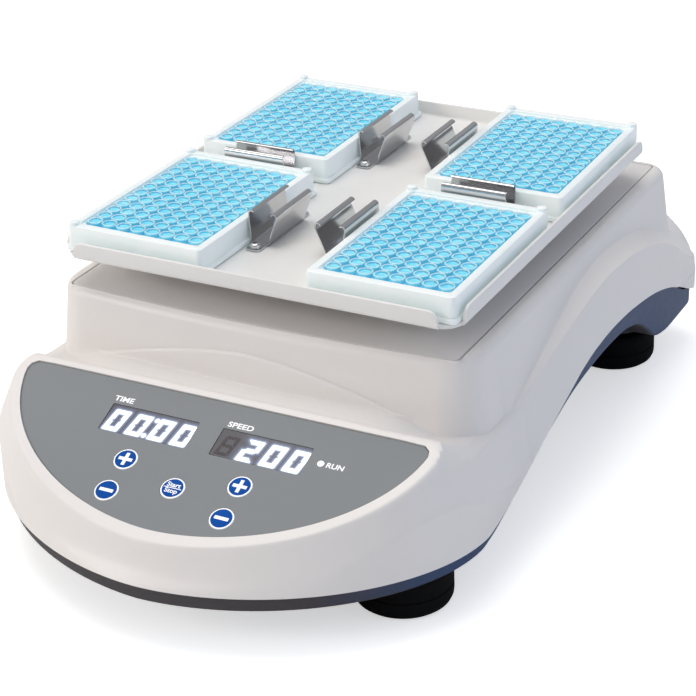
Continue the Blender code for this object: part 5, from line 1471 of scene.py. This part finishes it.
# the backdrop itself is plain and pale
col = mix_rgb(nt, lp.outputs["Is Camera Ray"], col, (1.58, 1.58, 1.58, 1))
bg = nt.nodes.new("ShaderNodeBackground")
nt.links.new(col, bg.inputs[0])
bg.inputs[1].default_value = 0.62
out = nt.nodes.new("ShaderNodeOutputWorld")
nt.links.new(bg.outputs[0], out.inputs[0])


def area(name, loc, target, size, power, rgb=(1, 1, 1), spread=180.0):
    li = bpy.data.lights.new(name, 'AREA')
    li.shape = 'RECTANGLE'
    li.size, li.size_y = size
    li.energy = power
    li.color = rgb
    li.spread = math.radians(spread)
    ob = bpy.data.objects.new(name, li)
    bpy.context.scene.collection.objects.link(ob)
    ob.location = loc
    ob.rotation_mode = 'QUATERNION'
    ob.rotation_quaternion = (Vector(target) - Vector(loc)).to_track_quat('-Z', 'Y')
    return ob


area("key_top", (-0.35, 0.25, 1.9), (0.0, 0.0, 0.1), (1.5, 1.2), 15.5, (1.0, 0.99, 0.97))
area("front_left", (-1.5, -1.7, 1.1), (0.0, -0.05, 0.08), (0.9, 0.9), 17.0, (1.0, 0.965, 0.935))
area("right_cool", (1.9, 0.1, 0.75), (0.05, 0.05, 0.08), (0.7, 0.9), 4.4, (0.58, 0.75, 1.0))

# ------------------------------------------------------------------- camera
CAM_AZ, CAM_EL, CAM_ROLL, CAM_LENS = 27.335, 26.198, -1.318, 108.15
CAM_POS = (490.3, -976.0, 581.1)
az, el, ro = math.radians(CAM_AZ), math.radians(CAM_EL), math.radians(CAM_ROLL)
back = Vector((math.sin(az) * math.cos(el), -math.cos(az) * math.cos(el), math.sin(el)))
right0 = Vector((math.cos(az), math.sin(az), 0.0))
up0 = back.cross(right0)
right = math.cos(ro) * right0 + math.sin(ro) * up0
upv = -math.sin(ro) * right0 + math.cos(ro) * up0
cam_d = bpy.data.cameras.new("camera")
cam_d.sensor_fit = 'HORIZONTAL'
cam_d.sensor_width = 36.0
cam_d.lens = CAM_LENS
cam_d.clip_start, cam_d.clip_end = 0.05, 50.0
cam = bpy.data.objects.new("camera", cam_d)
bpy.context.scene.collection.objects.link(cam)
cam.matrix_world = Matrix.Translation(Vector((CAM_POS[0], CAM_POS[1] + Y_SHIFT, CAM_POS[2])) * MM) @ Matrix((right, upv, back)).transposed().to_4x4()
bpy.context.scene.camera = cam
bpy.context.scene.view_settings.view_transform = 'Standard'
